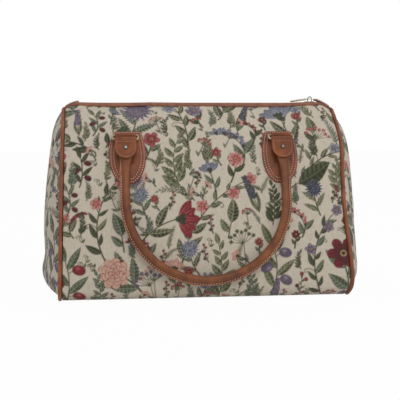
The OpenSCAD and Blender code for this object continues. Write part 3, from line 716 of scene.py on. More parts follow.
def plainWeave(name, pale, dark, pitch, roughness=0.88):
    n = Finish(name, roughness, Sheen_Weight=0.15, Sheen_Roughness=0.5, Specular_IOR_Level=0.25)
    place = n.place()
    a, b = n.thread(place, "X", pitch), n.thread(place, "DIAGONAL", pitch * 1.3)
    mottled = n.weigh((a, 0.3), (b, 0.2), (n.noise(place, 180.0, 3.0), 0.7))
    n.give(Base_Color=n.ramp(mottled, (0.3, dark), (0.8, pale)))
    n.bump(n.plus(a, b), 0.0002, 0.6)
    return n.made


def leatherFinish(name, pale, mid, dark, roughness=0.42, coat=0.05):
    # pebbled grain in two sizes, cloudy dye, painted shade darkening the grain's crease lines and a thin waxy
    # coat
    n = Finish(name, roughness, Specular_IOR_Level=0.22, Coat_Weight=coat, Coat_Roughness=0.3)
    place = n.place()
    cloudy, grain = n.noise(place, 42.0, 4.0), n.noise(place, 2200.0)
    cell = n.add("TexVoronoi", Vector=place, Scale=900.0, feature="DISTANCE_TO_EDGE").outputs["Distance"]
    pebble = n.math("MINIMUM", n.times(cell, 5.0), 1.0)
    dye = n.weigh((cloudy, 0.62), (n.noise(place, 150.0, 3.0, (1.0, 1.0, 0.35)), 0.38))
    # painted shade: darker along the edges of the grain's pebbles, where the bump sinks
    creaseShade = n.ramp(pebble, (0.0, (170, 150, 140)), (0.5, white))
    n.give(Base_Color=n.blend(0.35, n.ramp(dye, (0.33, dark), (0.5, mid), (0.68, pale)), creaseShade, "MULTIPLY"))
    n.gloss(n.plus(cloudy, n.times(grain, 0.3)), roughness - 0.1, roughness + 0.14, From_Min=0.3, From_Max=1.0)
    n.bump(n.plus(pebble, n.times(grain, 0.6)), 0.00009, 0.7)
    return n.made


def metalFinish(name, pale, dark, roughness, brushed=0.0, metallic=1.0):
    n = Finish(name, roughness, metallic)
    place = n.place()
    smear, lines = n.noise(place, 260.0, 4.0), n.noise(place, 300.0, 3.0, (1.0, 14.0, 14.0))
    n.give(Base_Color=n.ramp(n.weigh((smear, 0.7), (lines, 0.3)), (0.35, dark), (0.62, pale)))
    n.gloss(n.plus(smear, n.times(lines, brushed)), roughness * 0.6, roughness * 1.6)
    n.bump(lines, 0.00002, 0.25 + brushed)
    return n.made


def threadFinish(name, pale, dark):
    n = Finish(name, 0.7, Sheen_Weight=0.1)
    ply = n.noise(n.place(), 1800.0)
    n.give(Base_Color=n.ramp(ply, (0.35, dark), (0.6, pale)))
    n.bump(ply, 0.00012, 0.6)
    return n.made


finishes = {
    "tapestry": tapestryFinish("wovenTapestry"),
    "lining": plainWeave("liningCloth", (168, 146, 118), (128, 108, 84), 0.0006),
    "tape": plainWeave("zipTapeCloth", (150, 110, 78), (112, 78, 54), 0.0007),
    "endTab": plainWeave("endTabCloth", (214, 186, 170), (176, 146, 130), 0.0008),
    "piping": leatherFinish("pipingLeather", (164, 104, 70), (138, 80, 52), (106, 58, 38), 0.45),
    "binding": leatherFinish("bindingLeather", (156, 100, 72), (132, 80, 57), (102, 60, 42), 0.46),
    "patch": leatherFinish("patchLeather", (152, 90, 57), (127, 70, 43), (97, 51, 32)),
    "patchRim": leatherFinish("patchRimLeather", (158, 96, 70), (134, 76, 54), (104, 56, 40), 0.46),
    "keeper": leatherFinish("keeperLeather", (152, 86, 44), (126, 67, 32), (96, 50, 24)),
    "handle": leatherFinish("handleLeather", (151, 92, 56), (125, 73, 43), (97, 54, 31), 0.4, 0.1),
    "rawEdge": leatherFinish("rawLeatherEdge", (214, 186, 160), (188, 152, 124), (150, 112, 86), 0.7, 0.0),
    "thread": threadFinish("paleThread", (234, 200, 180), (204, 160, 138)),
    "tabThread": threadFinish("dustyThread", (192, 142, 118), (156, 108, 86)),
    "darkThread": threadFinish("tanThread", (150, 96, 70), (96, 58, 42)),
    "ringMetal": metalFinish("paleBrass", (178, 166, 140), (104, 94, 74), 0.38, 0.3),
    # painted reflection: the rivet dome's nickel is darkened to stand for the dark surroundings it reflects
    "rivetMetal": metalFinish("nickelWithPaintedReflection", (176, 170, 158), (104, 98, 90), 0.2),
    # painted reflection: the rivet's collar is made darker still, for the dark surroundings reflected round
    # the dome
    "rivetRim": metalFinish("nickelRimWithPaintedReflection", (96, 88, 78), (52, 46, 40), 0.35, 0.2),
    "sliderMetal": metalFinish("sliderNickel", (188, 184, 176), (96, 92, 88), 0.22),
    "pullMetal": metalFinish("pullSatin", (204, 190, 166), (150, 136, 114), 0.42, 0.4, 0.7),
    "teeth": metalFinish("teethTan", (176, 132, 92), (120, 84, 56), 0.4, 0.0, 0.35),
    "board": plainWeave("baseBoard", (92, 88, 82), (70, 66, 60), 0.002, 0.7),
}
print("finishes made:", len(finishes))

# woven panels: x across and arc length up the wall, with a turned-in rim all round


def arcAlong(p):
    return np.concatenate([[0], np.cumsum(np.linalg.norm(np.diff(p, axis=0), axis=-1))])


vFine = np.linspace(0, 1, 2001)
wallArc = arcAlong(wallBase(0, vFine))
wallL = wallArc[-1]
# cells across and up; edgeCrowd draws the end panels' columns together at their edges; cutShare is how much of
# the flat rectangle is left when an end panel is cut, and turnIn what its seams take up, in m
panelLook = {"wallCells": (352, 276), "endCells": (170, 210), "baseCells": (220, 104), "endDensity": 1.25,
             "edgeCrowd": 0.86, "cutShare": 0.86, "turnIn": (0.02, 0.006),
             "seeds": {"front_panel": 33, "back_panel": 58, "left_end_panel": 77, "right_end_panel": 91,
                       "base_panel": 12}}


def rimmed(a, b, n):  # even steps with each end doubled: the doubled rows make the rim
    line = np.linspace(a, b, n)
    return np.concatenate([line[:1], line, line[-1:]])


def rimLift(nu, nv):
    lift = np.zeros((nu, nv))
    lift[[0, -1], :] = lift[:, [0, -1]] = -form["wallT"]
    return lift


def clothCells(kind):
    return [int(n * fine) for n in panelLook[kind]]


def panelPiece(name, points, u, w, density=1.0, flip=False):
    woven = weavePrint(u, w, panelLook["seeds"][name], density)
    part = sheetPart(settle(points), stacked(u, w), flip, **woven)
    return buildPiece(name, [part], ["tapestry"], "bag")


def wallPanel(name, phase, turn):
    nu, nv = clothCells("wallCells")
    x, w = np.broadcast_arrays(rimmed(-edgeX, edgeX, nu)[:, None], rimmed(0, wallL, nv)[None, :])
    points = turn(wallPoint(x, np.interp(w, wallArc, vFine), rimLift(nu + 2, nv + 2), phase))
    piece = panelPiece(name, points, x, w)


def seamInner(v):  # the seam line set in by the piping's half width
    def seam(q):
        y, z = sectionYZ(q)
        return stacked(y, z - shoulder(form["halfW"], z))
    run = unit(seam(v + 0.004) - seam(v - 0.004))
    return seam(v) + seamIn * stacked(-run[..., 1], run[..., 0])


endV0 = form["cornerV"] / 2
endLo, endHi = seamInner(endV0)[1], seamInner(1.0)[1]
endFine = np.linspace(endV0, 1, 1001)
endArc = arcAlong(seamInner(endFine))


def cushion(d, r):
    return np.sqrt(1 - (1 - np.clip(d / r, 0, 1)) ** 2)


def endPoint(t, v):  # x = half width + bulge(z) (1 - |t|^2.4), y = t times the seam's y
    t, v = np.broadcast_arrays(np.asarray(t, float), np.asarray(v, float))
    q = seamInner(v)
    z = q[..., 1]
    bulge = form["endBelly"] * cushion(z - endLo, form["endRound"]) * cushion(endHi - z, form["endRound"])
    fade = np.maximum(0, 1 - (z / (form["edgeH"] + form["baseR"])) ** 2) ** form["endFade"]
    bulge = bulge * fade * form["endGain"] * (1 - np.abs(t) ** form["endCut"])
    return stacked(form["halfW"] + bulge, t * q[..., 0], z)


def gridOut(p):
    return unit(np.cross(np.gradient(p, axis=0), np.gradient(p, axis=1)))


endCloth = {"halfW": 88, "pucker": 0.6, "puckerL": 12, "puckerReach": 14, "wave": 1.1, "waveFrom": 30}


def endFolds(t, w, phase):  # height of the end's cloth over its plain form
    edge = (1 - np.abs(t)) * endCloth["halfW"]
    near = np.exp(-edge / endCloth["puckerReach"]) * (1 - np.exp(-edge / cloth["seamReach"]))
    pucker = near * np.sin(w * 2 * np.pi / endCloth["puckerL"] + 2 * np.sin(w * 0.05 + phase))
    wave = np.sin(t * 2.6 + phase) * np.sin(w * 0.03 + phase) + 0.6 * np.sin(t * 5 - w * 0.022)
    return endCloth["pucker"] * pucker + np.clip(edge / endCloth["waveFrom"], 0, 1) * endCloth["wave"] * wave


# how far the filled ends stand out beyond the plain form, by height
endSettle = {-1: ([0, 3, 8, 14, 20, 34, 47, 76, 104, 240], [4, 10, 8.5, 4, 1, -3.5, -4.5, -1.5, -0.5, 0]),
             1: ([0, 6, 12, 30, 47, 76, 104, 132, 160, 183, 240],
                 [0, -1, -2.5, -4.5, -3.5, 0, 3, 2.6, 1, 0, 0])}
# four rows close the end's foot behind the piping, and two its top under the piping's crown
endFoot = {"keep": [0, 0, 0, 0.65], "x": [edgeX - 0.8, edgeX - 0.3, edgeX + 1.8, 0.35 * (edgeX + 1.8)],
           "narrow": [0.93, 0.93, 0.98, 1.0], "z": [0.9, 2.9, 3.6, 4.6]}
endTop = {"step": np.array([-0.6, 0, 1.6]), "last": np.array([-0.8, 0, 1.4]), "narrow": 0.7}


def endGrid(nu, nv):  # t across the end, from -1 to 1 and closer together at its edges; w up it
    crowd = panelLook["edgeCrowd"]
    t = np.sin(np.linspace(-np.pi / 2, np.pi / 2, nu) * crowd) / np.sin(np.pi / 2 * crowd)
    w = np.linspace(0, endArc[-1], nv)
    return t[:, None], w[None, :], np.interp(w, endArc, endFine)[None, :]


def endStand(side, z, t):
    return np.interp(z, *endSettle[side]) * (1 - np.abs(t) ** form["endCut"])


def endPanel(name, phase, side, turn):
    nu, nv = clothCells("endCells")
    t, w, v = endGrid(nu, nv)
    base = endPoint(t, v)
    points = base + endFolds(t, w, phase)[..., None] * gridOut(base)
    points[..., 0] += endStand(side, points[..., 2], t)
    crown = points[:, -1:] + endTop["step"]
    crown[..., 1] *= endTop["narrow"]
    foot = np.repeat(points[:, :1], 4, axis=1)
    foot[..., 0] = foot[..., 0] * endFoot["keep"] + endFoot["x"]
    foot[..., 1] *= endFoot["narrow"]
    foot[..., 2] = endFoot["z"]
    points = np.concatenate([foot, points, crown, crown + endTop["last"]], 1)
    points = np.concatenate([points[:1], points, points[-1:]], 0)
    points[[0, -1], :, 0] -= form["wallT"]
    around = ((1, 1), (4, 2))
    u = np.pad(t * seamInner(v)[..., 0], around, mode="edge") * side
    w = np.pad(np.broadcast_to(w, (nu, nv)), around, mode="edge")
    piece = panelPiece(name, turn(points), u, w, panelLook["endDensity"], side < 0)


def basePanel(name):
    nu, nv = clothCells("baseCells")
    d = form["halfD"] - form["baseR"] - form["gap"]
    x, y = np.broadcast_arrays(rimmed(-edgeX, edgeX, nu)[:, None], rimmed(-d, d, nv)[None, :])
    piece = panelPiece(name, stacked(x, y, 0 - rimLift(nu + 2, nv + 2)), x, y, flip=True)


frontPhase, backPhase, leftPhase, rightPhase = 0.4, 2.1, 0.9, 2.6
wallPanel("front_panel", frontPhase, asIs)
wallPanel("back_panel", backPhase, toBack)
endPanel("left_end_panel", leftPhase, -1, toLeft)
endPanel("right_end_panel", rightPhase, 1, asIs)
basePanel("base_panel")
print("woven panels made")

liningLook = {"cells": (70, 60), "endCells": (50, 60), "t": 0.6, "behindEnd": 1.9}


def liningPiece(name, outer, inner, flip=False, uv=None):  # two sheets, the cloth's two faces
    parts = [sheetPart(settle(outer), uv, flip), sheetPart(settle(inner), uv, not flip)]
    buildPiece(name, parts, ["lining"], "bag")


def liningWall(name, phase, turn):
    nu, nv = liningLook["cells"]
    x, v = np.linspace(-edgeX, edgeX, nu)[:, None], np.linspace(0, 1, nv)[None, :]
    depth = form["wallT"] + form["gap"]
    faces = [turn(wallPoint(x, v, np.full((nu, nv), -d), phase)) for d in (depth, depth + liningLook["t"])]
    liningPiece(name, *faces, uv=stacked(x, v * wallL))


def liningEnd(name, phase, side, turn):
    t, w, v = endGrid(*liningLook["endCells"])
    base = endPoint(t, v)
    out = gridOut(base)
    base[..., 0] += endStand(side, base[..., 2], t)
    depth, folded = liningLook["behindEnd"], endFolds(t, w, phase)
    faces = [turn(base + (folded - d)[..., None] * out) for d in (depth, depth + liningLook["t"])]
    liningPiece(name, *faces, flip=side < 0)


liningWall("front_lining", frontPhase, asIs)
liningWall("back_lining", backPhase, toBack)
liningEnd("left_end_lining", leftPhase, -1, toLeft)
liningEnd("right_end_lining", rightPhase, 1, asIs)

# leather and metal: a section carried along a path, or a pad raised from its outline


def roundBar(halfW, halfT, c, flat=6):  # closed outline of a bar with rounded edges, (across, through)
    c = np.minimum(c, halfT * 0.98)
    q, run = np.linspace(0, np.pi / 2, 4), np.linspace(1, -1, flat)[1:-1]
    rows = []  # where the corner's middle lies and where its round reaches, both across and through
    for k, (right, up) in enumerate(((1, 1), (-1, 1), (-1, -1), (1, -1))):
        a = q + k * np.pi / 2
        rows.append(stacked(right, np.cos(a), up, np.sin(a)))
        if k in (0, 2):
            rows.append(stacked(run * up, 0, up, up))
    sx, cx, sy, cy = np.concatenate(rows + [rows[0][:1]]).T
    halfW, halfT, c = (np.asarray(a, float)[..., None] for a in (halfW, halfT, c))
    return sx * np.maximum(halfW - c, 0) + cx * c, sy * (halfT - c) + cy * c


def capped(points):  # closes a tube's two ends onto their middles
    low, high = (end.mean(1, keepdims=True).repeat(points.shape[1], 1) for end in (points[:1], points[-1:]))
    return np.concatenate([low, points, high])


def solidPart(points, slot=0, uv=None):
    return sheetPart(points, uv, closed=True, slot=slot)


def barPart(place, x, y, z):  # a capped grid of points, put in its place
    return solidPart(place(capped(stacked(x, y, z))))


def closedLine(p):
    return np.concatenate([p, p[:1]])


def respaced(p, n):  # n even steps along a line
    s = arcAlong(p)
    at = np.linspace(0, s[-1], n)
    return stacked(*(np.interp(at, s, p[:, k]) for k in range(p.shape[1])))


def respacedLoop(p, n):
    return respaced(closedLine(p), n + 1)[:-1]


def smoothed(loop, times):
    for _ in range(times):
        loop = 0.25 * np.roll(loop, 1, 0) + 0.5 * loop + 0.25 * np.roll(loop, -1, 0)
    return loop


def lineRun(p, closed=False):  # tangents of a line of points
    return unit(np.roll(p, -1, 0) - np.roll(p, 1, 0)) if closed else unit(np.gradient(p, axis=0))


def tubeRound(line, aside, other, r, q):
    ring = np.cos(q)[None, :, None] * aside[:, None] + np.sin(q)[None, :, None] * other[:, None]
    return line[:, None] + np.asarray(r)[..., None] * ring


def smoothSteps(a, b, n):  # from a to b with its steps closer together at both ends
    return a + (b - a) * (0.5 - 0.5 * np.cos(np.linspace(0, np.pi, n)))


stitchLook = {"length": 1.6, "radius": 0.4, "sink": 0.06, "sides": 6, "flat": 0.8,
              "along": [-0.5, -0.42, 0.0, 0.42, 0.5], "girth": [0.0, 0.75, 1.0, 0.75, 0.0]}


def stitchRow(points, out, slot=1, length=stitchLook["length"], radius=stitchLook["radius"]):
    # one small capsule for each place: its run follows the row, its crown stands along out
    run = lineRun(points)
    q = np.linspace(0, 2 * np.pi, stitchLook["sides"] + 1)
    along, girth = (np.array(stitchLook[key])[:, None] for key in ("along", "girth"))
    girth = girth * radius
    local = stacked(along * length, girth * np.cos(q), girth * np.sin(q) * stitchLook["flat"])
    frames = np.stack([run, unit(np.cross(out, run)), out], 1)
    places = points + out * stitchLook["sink"]
    return copiesPart(places[:, None, None] + np.einsum("ijc,nck->nijk", local, frames), slot)


# piping: a leather tube round each end seam

pipingLook = {"rings": 420, "sides": 16, "radius": 2.35, "wobble": 0.06, "seatZ": 2.45, "length": 760,
              "flat": 0.05}


def pipingLine(side):
    y, z = sectionYZ(np.linspace(0, 1, 160))
    z = np.maximum(pipingLook["seatZ"], z - shoulder(form["halfW"], z))
    half = stacked(y, z)
    crown, topY = z[-1] + 1, form["halfZip"] / 3
    top = np.array([[-topY, crown], [0, crown + 0.2], [topY, crown]])
    low = stacked(np.linspace(y[0], -y[0], 60)[1:-1], pipingLook["seatZ"])
    loop = np.concatenate([half * [-1, 1], top, half[::-1], low])
    loop = smoothed(respacedLoop(loop, pipingLook["rings"]), 3)
    return stacked(side * form["halfW"], loop[:, 0], loop[:, 1])


def pipingPiece(name, side):
    line = settle(pipingLine(side))
    run = lineRun(line, True)
    outward = unit(np.cross(run, np.array([1.0, 0, 0])))
    q = np.linspace(0, 2 * np.pi, pipingLook["sides"] + 1)
    s = np.arange(len(line)) / len(line) * 2 * np.pi
    r = pipingLook["radius"] * (1 + pipingLook["wobble"] * (np.sin(47 * s) * 0.5 + np.sin(23 * s + 1) * 0.5))
    r = r[:, None] * (1 - pipingLook["flat"] * np.abs(np.sin(q))[None, :])
    tube = closedLine(tubeRound(line, outward, unit(np.cross(outward, run)), r, q))
    uv = stacked(np.linspace(0, pipingLook["length"], len(tube))[:, None], (q * form["pipingR"])[None, :])
    buildPiece(name, [solidPart(tube, uv=uv)], ["piping"], "bag")


pipingPiece("left_piping", -1)
pipingPiece("right_piping", 1)

# zip: binding strips, tapes, teeth, tabs

zipLook = {"channel": 11.0, "bindingT": 1.2, "tapeT": 0.6, "pitch": 3.0, "rowW": 2.1, "toothH": 2.4,
           "slit": 1.0, "teeth": (-134.0, 146.0), "cordInset": 0.45, "cordR": (0.42, 0.9)}
tapeZ = form["edgeH"] - 0.1 - zipLook["tapeT"] / 2
bindingZ = form["edgeH"] + form["gap"] - 0.1
bindingLook = {"cells": 240, "past": 0.5, "lowV": 0.969, "narrows": (136, 163), "rows": (0.5, 2.55),
               "rowEnd": 3, "pitch": 3.0}


def bindingPoint(x, s, d):  # s 0 to 2 lies on the wall's top, s 2 to 3 crosses to the channel's edge
    x, s = np.broadcast_arrays(x, s)
    low = bindingLook["lowV"] + 0.012 * ease(np.abs(x), *bindingLook["narrows"])
    low = low + 0.0012 * np.sin(x * 0.061) * np.sin(x * 0.017 + 1)
    v = low + (1 - low) * np.minimum(s, 2) / 2
    on = wallBase(x, v) + (form["gap"] + d)[..., None] * wallOut(x, v)
    edge = stacked(x, -zipLook["channel"] / 2, bindingZ - shoulder(x, form["edgeH"]) + d)
    k = np.clip(s - 2, 0, 1)[..., None]
    return on * (1 - k) + edge * k


def bindingPiece(name, turn, seed):
    x = np.linspace(-edgeX - bindingLook["past"], edgeX + bindingLook["past"], bindingLook["cells"])
    t = zipLook["bindingT"]
    across, through = roundBar(1.5, t / 2, 0.5, 9)
    uneven = 0.25 * np.sin(x * 0.21 + seed) * np.sin(x * 0.033)
    d = through + t / 2 + uneven[:, None] * (through > 0) * 0.5
    parts = [solidPart(settle(turn(capped(bindingPoint(x[:, None], np.clip(1.5 + across, 0.0, 3.0), d)))))]
    at = np.arange(-edgeX + bindingLook["rowEnd"], edgeX - bindingLook["rowEnd"], bindingLook["pitch"])
    for s in bindingLook["rows"]:
        p, above = (settle(turn(bindingPoint(at, s, np.full_like(at, h)))) for h in (t, t + 1))
        parts.append(stitchRow(p, unit(above - p)))
    buildPiece(name, parts, ["binding", "darkThread"], "bag")


bindingPiece("front_binding", asIs, 0.3)
bindingPiece("back_binding", toBack, 2.0)


def tapePiece(name, turn):  # the two tapes meet past the lower stop, at the bag's left end
    y0, y1 = zipLook["slit"] / 2 + zipLook["rowW"] + 0.2, form["halfZip"] - form["wallT"] + 0.2
    x = np.linspace(-flatX - 1, flatX + 1, 200)[:, None]
    towardLeft = -turn(np.array([1.0, 0, 0]))[0] * x
    inner = y0 - (y0 - 0.15) * ease(towardLeft, 137.2, 138.7)
    y = -y1 + (y1 - inner) * np.linspace(0, 1, 8)
    z = tapeZ + 0.12 * np.sin(x * 0.4) * (y + y0) / (y0 - y1)
    half = zipLook["tapeT"] / 2
    top, under = stacked(x, y, z + half), stacked(x, y, z - half)
    loop = np.concatenate([top, under[:, ::-1], top[:, :1]], 1)
    buildPiece(name, [solidPart(sagAtZip(turn(capped(loop))))], ["tape"], "bag", sharp=0.8)


tapePiece("front_zip_tape", asIs)
tapePiece("back_zip_tape", toBack)

# a tooth's section along its reach: how far it reaches, and its half width and half height as shares
tooth = {"reach": [0.0, 0.05, 0.6, 0.95, 1.0], "wide": [0.0, 0.85, 0.6, 0.75, 0.0],
         "tall": [0.0, 0.98, 0.8, 0.85, 0.0], "halfW": 1.15, "squarePow": 0.6, "rootInset": 0.3}


def squared(c):
    return np.sign(c) * np.abs(c) ** tooth["squarePow"]


def teethRow(name, side, shift):  # rounded teeth on a cord; each tooth is one small tapered pad
    x0, x1 = zipLook["teeth"]
    row, edge = zipLook["rowW"], zipLook["slit"] / 2 + zipLook["rowW"]
    q = np.linspace(0, 2 * np.pi, 9)
    ry, rz = zipLook["cordR"]
    cordY = side * (edge - zipLook["cordInset"] + ry * np.cos(q))
    cord = barPart(asIs, np.linspace(x0, x1, 190)[:, None], cordY, tapeZ + rz * np.sin(q))
    reach, wide, tall = (np.array(tooth[key])[:, None] for key in ("reach", "wide", "tall"))
    root = tooth["rootInset"]
    local = stacked(wide * squared(np.cos(q)) * tooth["halfW"], side * (edge - root - reach * (row - root)),
                    tapeZ + tall * zipLook["toothH"] / 2 * squared(np.sin(q)))
    at = np.arange(x0 + 0.5 * zipLook["pitch"] + shift, x1 - 1.0, zipLook["pitch"])
    teeth = copiesPart(local[None] + stacked(at, 0, 0)[:, None, None])
    buildPiece(name, [cord, teeth], ["teeth"], "bag", sharp=0.9)


teethRow("front_zip_teeth", -1, 0.0)
teethRow("back_zip_teeth", 1, zipLook["pitch"] / 2)

zipTab = {"length": 15.7, "width": 22.0, "t": 1.6, "past": 0.9, "round": 0.75, "cells": 40, "stitches": 26,
          "rowInset": (2.6, 1.8), "rise": {1: 2.4, -1: 0.24}, "crown": {1: 1.5, -1: 0.7}}


def tabTop(z, x, side):  # the tab follows the shoulder, and the right one's inner end stands up
    past = np.maximum(0, (edgeX - x) / zipTab["length"] - 0.1)
    return z - shoulder(x, form["edgeH"]) + zipTab["rise"][side] * past ** 2


def zipTabPiece(name, side, turn):  # a folded cloth tab, rounded at its edges, sewn round
    n, half, crown = zipTab["cells"], zipTab["t"] / 2, zipTab["crown"][side]
    x = np.linspace(edgeX - zipTab["length"], edgeX + zipTab["past"], n)
    across, through = roundBar(*(np.full(n, a) for a in (zipTab["width"] / 2, half, zipTab["round"])), 12)
    up = through > 0
    z0 = bindingZ + zipLook["bindingT"] + form["gap"] + half
    quilt = 0.12 * np.sin(across * 1.2) * np.sin(x * 0.9)[:, None]
    z = tabTop(z0, x, side)[:, None] + through * np.where(up, crown, 1.0) + quilt * up
    parts = [barPart(lambda p: settle(turn(p)), x[:, None], across, z)]
    count, inner = zipTab["stitches"], edgeX - zipTab["length"] + zipTab["rowInset"][0]
    hy = zipTab["width"] / 2 - zipTab["rowInset"][1]
    loop = respaced(np.array([[edgeX, -hy], [inner, -hy], [inner, hy], [edgeX, hy]]), count)
    top = np.c_[loop, tabTop(z0 + half * crown, loop[:, 0], side)]
    parts.append(stitchRow(settle(turn(top)), np.tile([0.0, 0, 1.0], (count, 1)), radius=0.26))
    buildPiece(name, parts, ["endTab", "thread"], "bag")


zipTabPiece("left_zip_tab", -1, toLeft)
zipTabPiece("right_zip_tab", 1, asIs)


def stopsPiece():  # three crimped metal pads: one across both rows, one behind each row's last tooth
    x0, x1 = zipLook["teeth"]
    row, gap, h = zipLook["rowW"], form["gap"], zipLook["toothH"] / 2
    middle = (zipLook["slit"] + row) / 2
    low, high, n = 2.4, 1.6, 11
    squeeze = 0.5 * (1 - np.sin(np.linspace(0, np.pi, n))) ** 2
    parts = []
    pads = [(x0 - gap - low, low, 0.0, middle + row / 2)]
    pads += [(x1 + gap, high, side * middle, row / 2) for side in (-1, 1)]
    for start, length, y, half in pads:
        x = smoothSteps(start, start + length, n)[:, None]
        across, through = roundBar(half - squeeze, h - squeeze, np.full(n, 0.6), 8)
        parts.append(barPart(asIs, x, y + across, tapeZ + through))
    buildPiece("zip_stops", parts, ["ringMetal"], "bag", sharp=1.0)


stopsPiece()
print("piping and zip made")

# handle mountings

mount = {"hangX": 92.5, "keeperBelow": 41.0, "wireR": 1.4, "ringH": 7.4, "ringLean": 25.0, "ringCorner": 1.9,
         "keeperW": 24.0, "keeperFlap": 11.0, "strapT": 1.4, "tabW": 25.6, "tabL": 26.0, "tabBackL": 13.25,
         "tabLean": 2.0, "rivetDrop": 12.2, "rivetR": 3.0, "domeH": 1.7, "play": 0.3}
patch = {"x": 90.5, "length": 66.0, "above": 8.0, "width": 43.0, "t": 1.8, "points": 240, "heart": (24, 44),
         "middle": 34.0, "rows": ((2.0, 0.1), (5.6, 0.15)), "pitch": 2.9, "rim": (3, 11)}
keeperV = vAtHeight(form["edgeH"] - mount["keeperBelow"])


def slopeLength(v):  # the wall's length for each unit of v
    return np.linalg.norm(wallBase(patch["x"], v + 0.004) - wallBase(patch["x"], v - 0.004)) / 0.008


def walkDown(v, length):
    while length > 0:
        v, length = v - 1 / slopeLength(v), length - 1
    return v


patchV0 = keeperV + patch["above"] / slopeLength(keeperV)
patchV1 = walkDown(keeperV, patch["length"] - patch["above"])
faceOut = wallOut(patch["x"], keeperV)
slope = np.arctan2(faceOut[2], -faceOut[1])
wallDir = np.array([0, -np.cos(slope), np.sin(slope)])
boreR = mount["wireR"] + mount["play"]
loopR = boreR + mount["strapT"]
seat = wallBase(patch["x"], keeperV) + (2 * form["gap"] + patch["t"]) * wallDir
upperBar = seat + (form["gap"] + loopR) * wallDir
ringAngle = slope + np.radians(mount["ringLean"])
lowerBar = upperBar + mount["ringH"] * np.array([0, -np.sin(ringAngle), -np.cos(ringAngle)])
handleTop = slope - np.radians(mount["tabLean"])


def placed(x0, turn, bar, angle):  # local y points to the wall, z up along it
    c, s = np.cos(angle), np.sin(angle)

    def place(local):
        x, y, z = local[..., 0], local[..., 1], local[..., 2]
        return turn(stacked(x + x0, bar[1] + y * c + z * s, bar[2] - y * s + z * c))
    return place


def sewnOn(place, row):  # stitches on a face that looks away from the wall
    p = place(row)
    return stitchRow(p, unit(place(row + [0, -1, 0]) - p))


def patchHalf(b):
    rise = 0.76 + 0.24 * np.sin(np.pi * np.clip(b, 0, 0.5)) - 0.08 * (1 - np.minimum(1, b / 0.05)) ** 2
    fall = np.maximum(0, 1 - (np.maximum(b - 0.5, 0) / 0.53) ** 2.3) ** 0.55
    return patch["width"] / 2 * np.where(b < 0.5, rise, fall)


toMiddle = 999.0  # an inset that closes a pad


def padRings(outline, heart, rings):  # rings are (inset in mm, height)
    away = heart - outline
    far = np.linalg.norm(away, axis=-1, keepdims=True)
    rows = [outline + away * np.minimum(inset / far, 1.0 if inset == toMiddle else 0.96) for inset, _ in rings]
    return np.stack(rows), np.stack([np.full(len(outline), h) for _, h in rings])


def patchOutline():  # closed line of (across, down) points in mm
    b = smoothSteps(0, 1, 90)
    side = stacked(patchHalf(b), b * patch["length"])
    return closedLine(smoothed(respacedLoop(np.concatenate([side, side[::-1] * [-1, 1]]), patch["points"]), 2))


def insetLine(line, inset):  # a closed line moved inwards along its own normals
    loop = line[:-1]
    run = lineRun(loop, True)
    inward = stacked(-run[:, 1], run[:, 0])
    inward *= np.sign(((loop.mean(0) - loop) * inward).sum(-1, keepdims=True))
    return closedLine(loop + inset * inward)


def patchPiece(name, x0, turn, phase):
    line, t = patchOutline(), patch["t"]
    rings = [(toMiddle, 0.0), (0.35, 0.0), (0.0, 0.35), (0.0, t * 0.45), (0.18, t * 0.75), (0.6, t * 0.95),
             (1.2, t), (2.0, t - 0.12), (2.8, t), (4.4, t), (5.6, t - 0.18), (6.6, t + 0.1), (8.5, t + 0.5),
             (11.0, t + 0.65), (toMiddle, t + 0.7)]
    flat, height = padRings(line, stacked(0, np.clip(line[:, 1], *patch["heart"])), rings)
    middle = stacked(np.zeros((1, len(line))), patch["middle"])
    flat, height = np.concatenate([middle, flat, middle]), np.concatenate([height[:1], height, height[-1:]])

    def onWall(ab, h):
        v = patchV0 + (patchV1 - patchV0) * (ab[..., 1] / patch["length"])
        return settle(turn(wallPoint(x0 + ab[..., 0], v, form["gap"] + h, phase)))
    part = solidPart(onWall(flat, height), uv=flat)
    row = np.arange(len(part["quads"])) // (len(line) - 1)
    parts = splitSlot(part, (row >= patch["rim"][0]) & (row < patch["rim"][1]), 2)
    for inset, sunk in patch["rows"]:
        closed = insetLine(line, inset)
        seam = respaced(closed, int(arcAlong(closed)[-1] / patch["pitch"]) + 1)[:-1]
        p, above = (onWall(seam, np.full(len(seam), h)) for h in (t - sunk, t - sunk + 1))
        parts.append(stitchRow(p, unit(above - p), 1, 1.4, 0.5))
    buildPiece(name, parts, ["patch", "thread", "patchRim"], "bag")


def strapPart(place, path, halfW, t, c=0.55, flat=8):  # path holds (y, z) points; the width lies along x
    run = lineRun(path)
    across, through = roundBar(halfW, np.full(len(path), t / 2), np.minimum(c, halfW * 0.5), flat)
    return barPart(place, across, path[:, :1] - through * run[:, 1:], path[:, 1:] + through * run[:, :1])


def keeperPiece(name, x0, turn):
    flap, half, t = mount["keeperFlap"], mount["keeperW"] / 2, mount["strapT"]
    r, endY = boreR + t / 2, 0.98
    q = np.linspace(0, np.pi * 1.32, 30)
    back = stacked(r, np.linspace(-flap, -0.3, 14))
    loop = stacked(r * np.cos(q), r * np.sin(q))
    lastY, lastZ = loop[-1]
    innerY = np.interp(np.linspace(0, 1, 16), [0, 0.35, 1], [lastY, 0.72, endY])
    inner = stacked(innerY, np.linspace(lastZ - 0.6, -flap, 16))
    path = respaced(np.concatenate([back, loop, inner]), 90)
    for _ in range(4):
        path[1:-1] = 0.25 * path[:-2] + 0.5 * path[1:-1] + 0.25 * path[2:]
    place = placed(x0, turn, upperBar, slope)
    row = stacked(np.linspace(-half + 2, half - 2, 8), endY - t / 2, -flap + 2.2)
    parts = [strapPart(place, path, np.full(len(path), half), t * 0.97), sewnOn(place, row)]
    buildPiece(name, parts, ["keeper", "tabThread"], "bag")


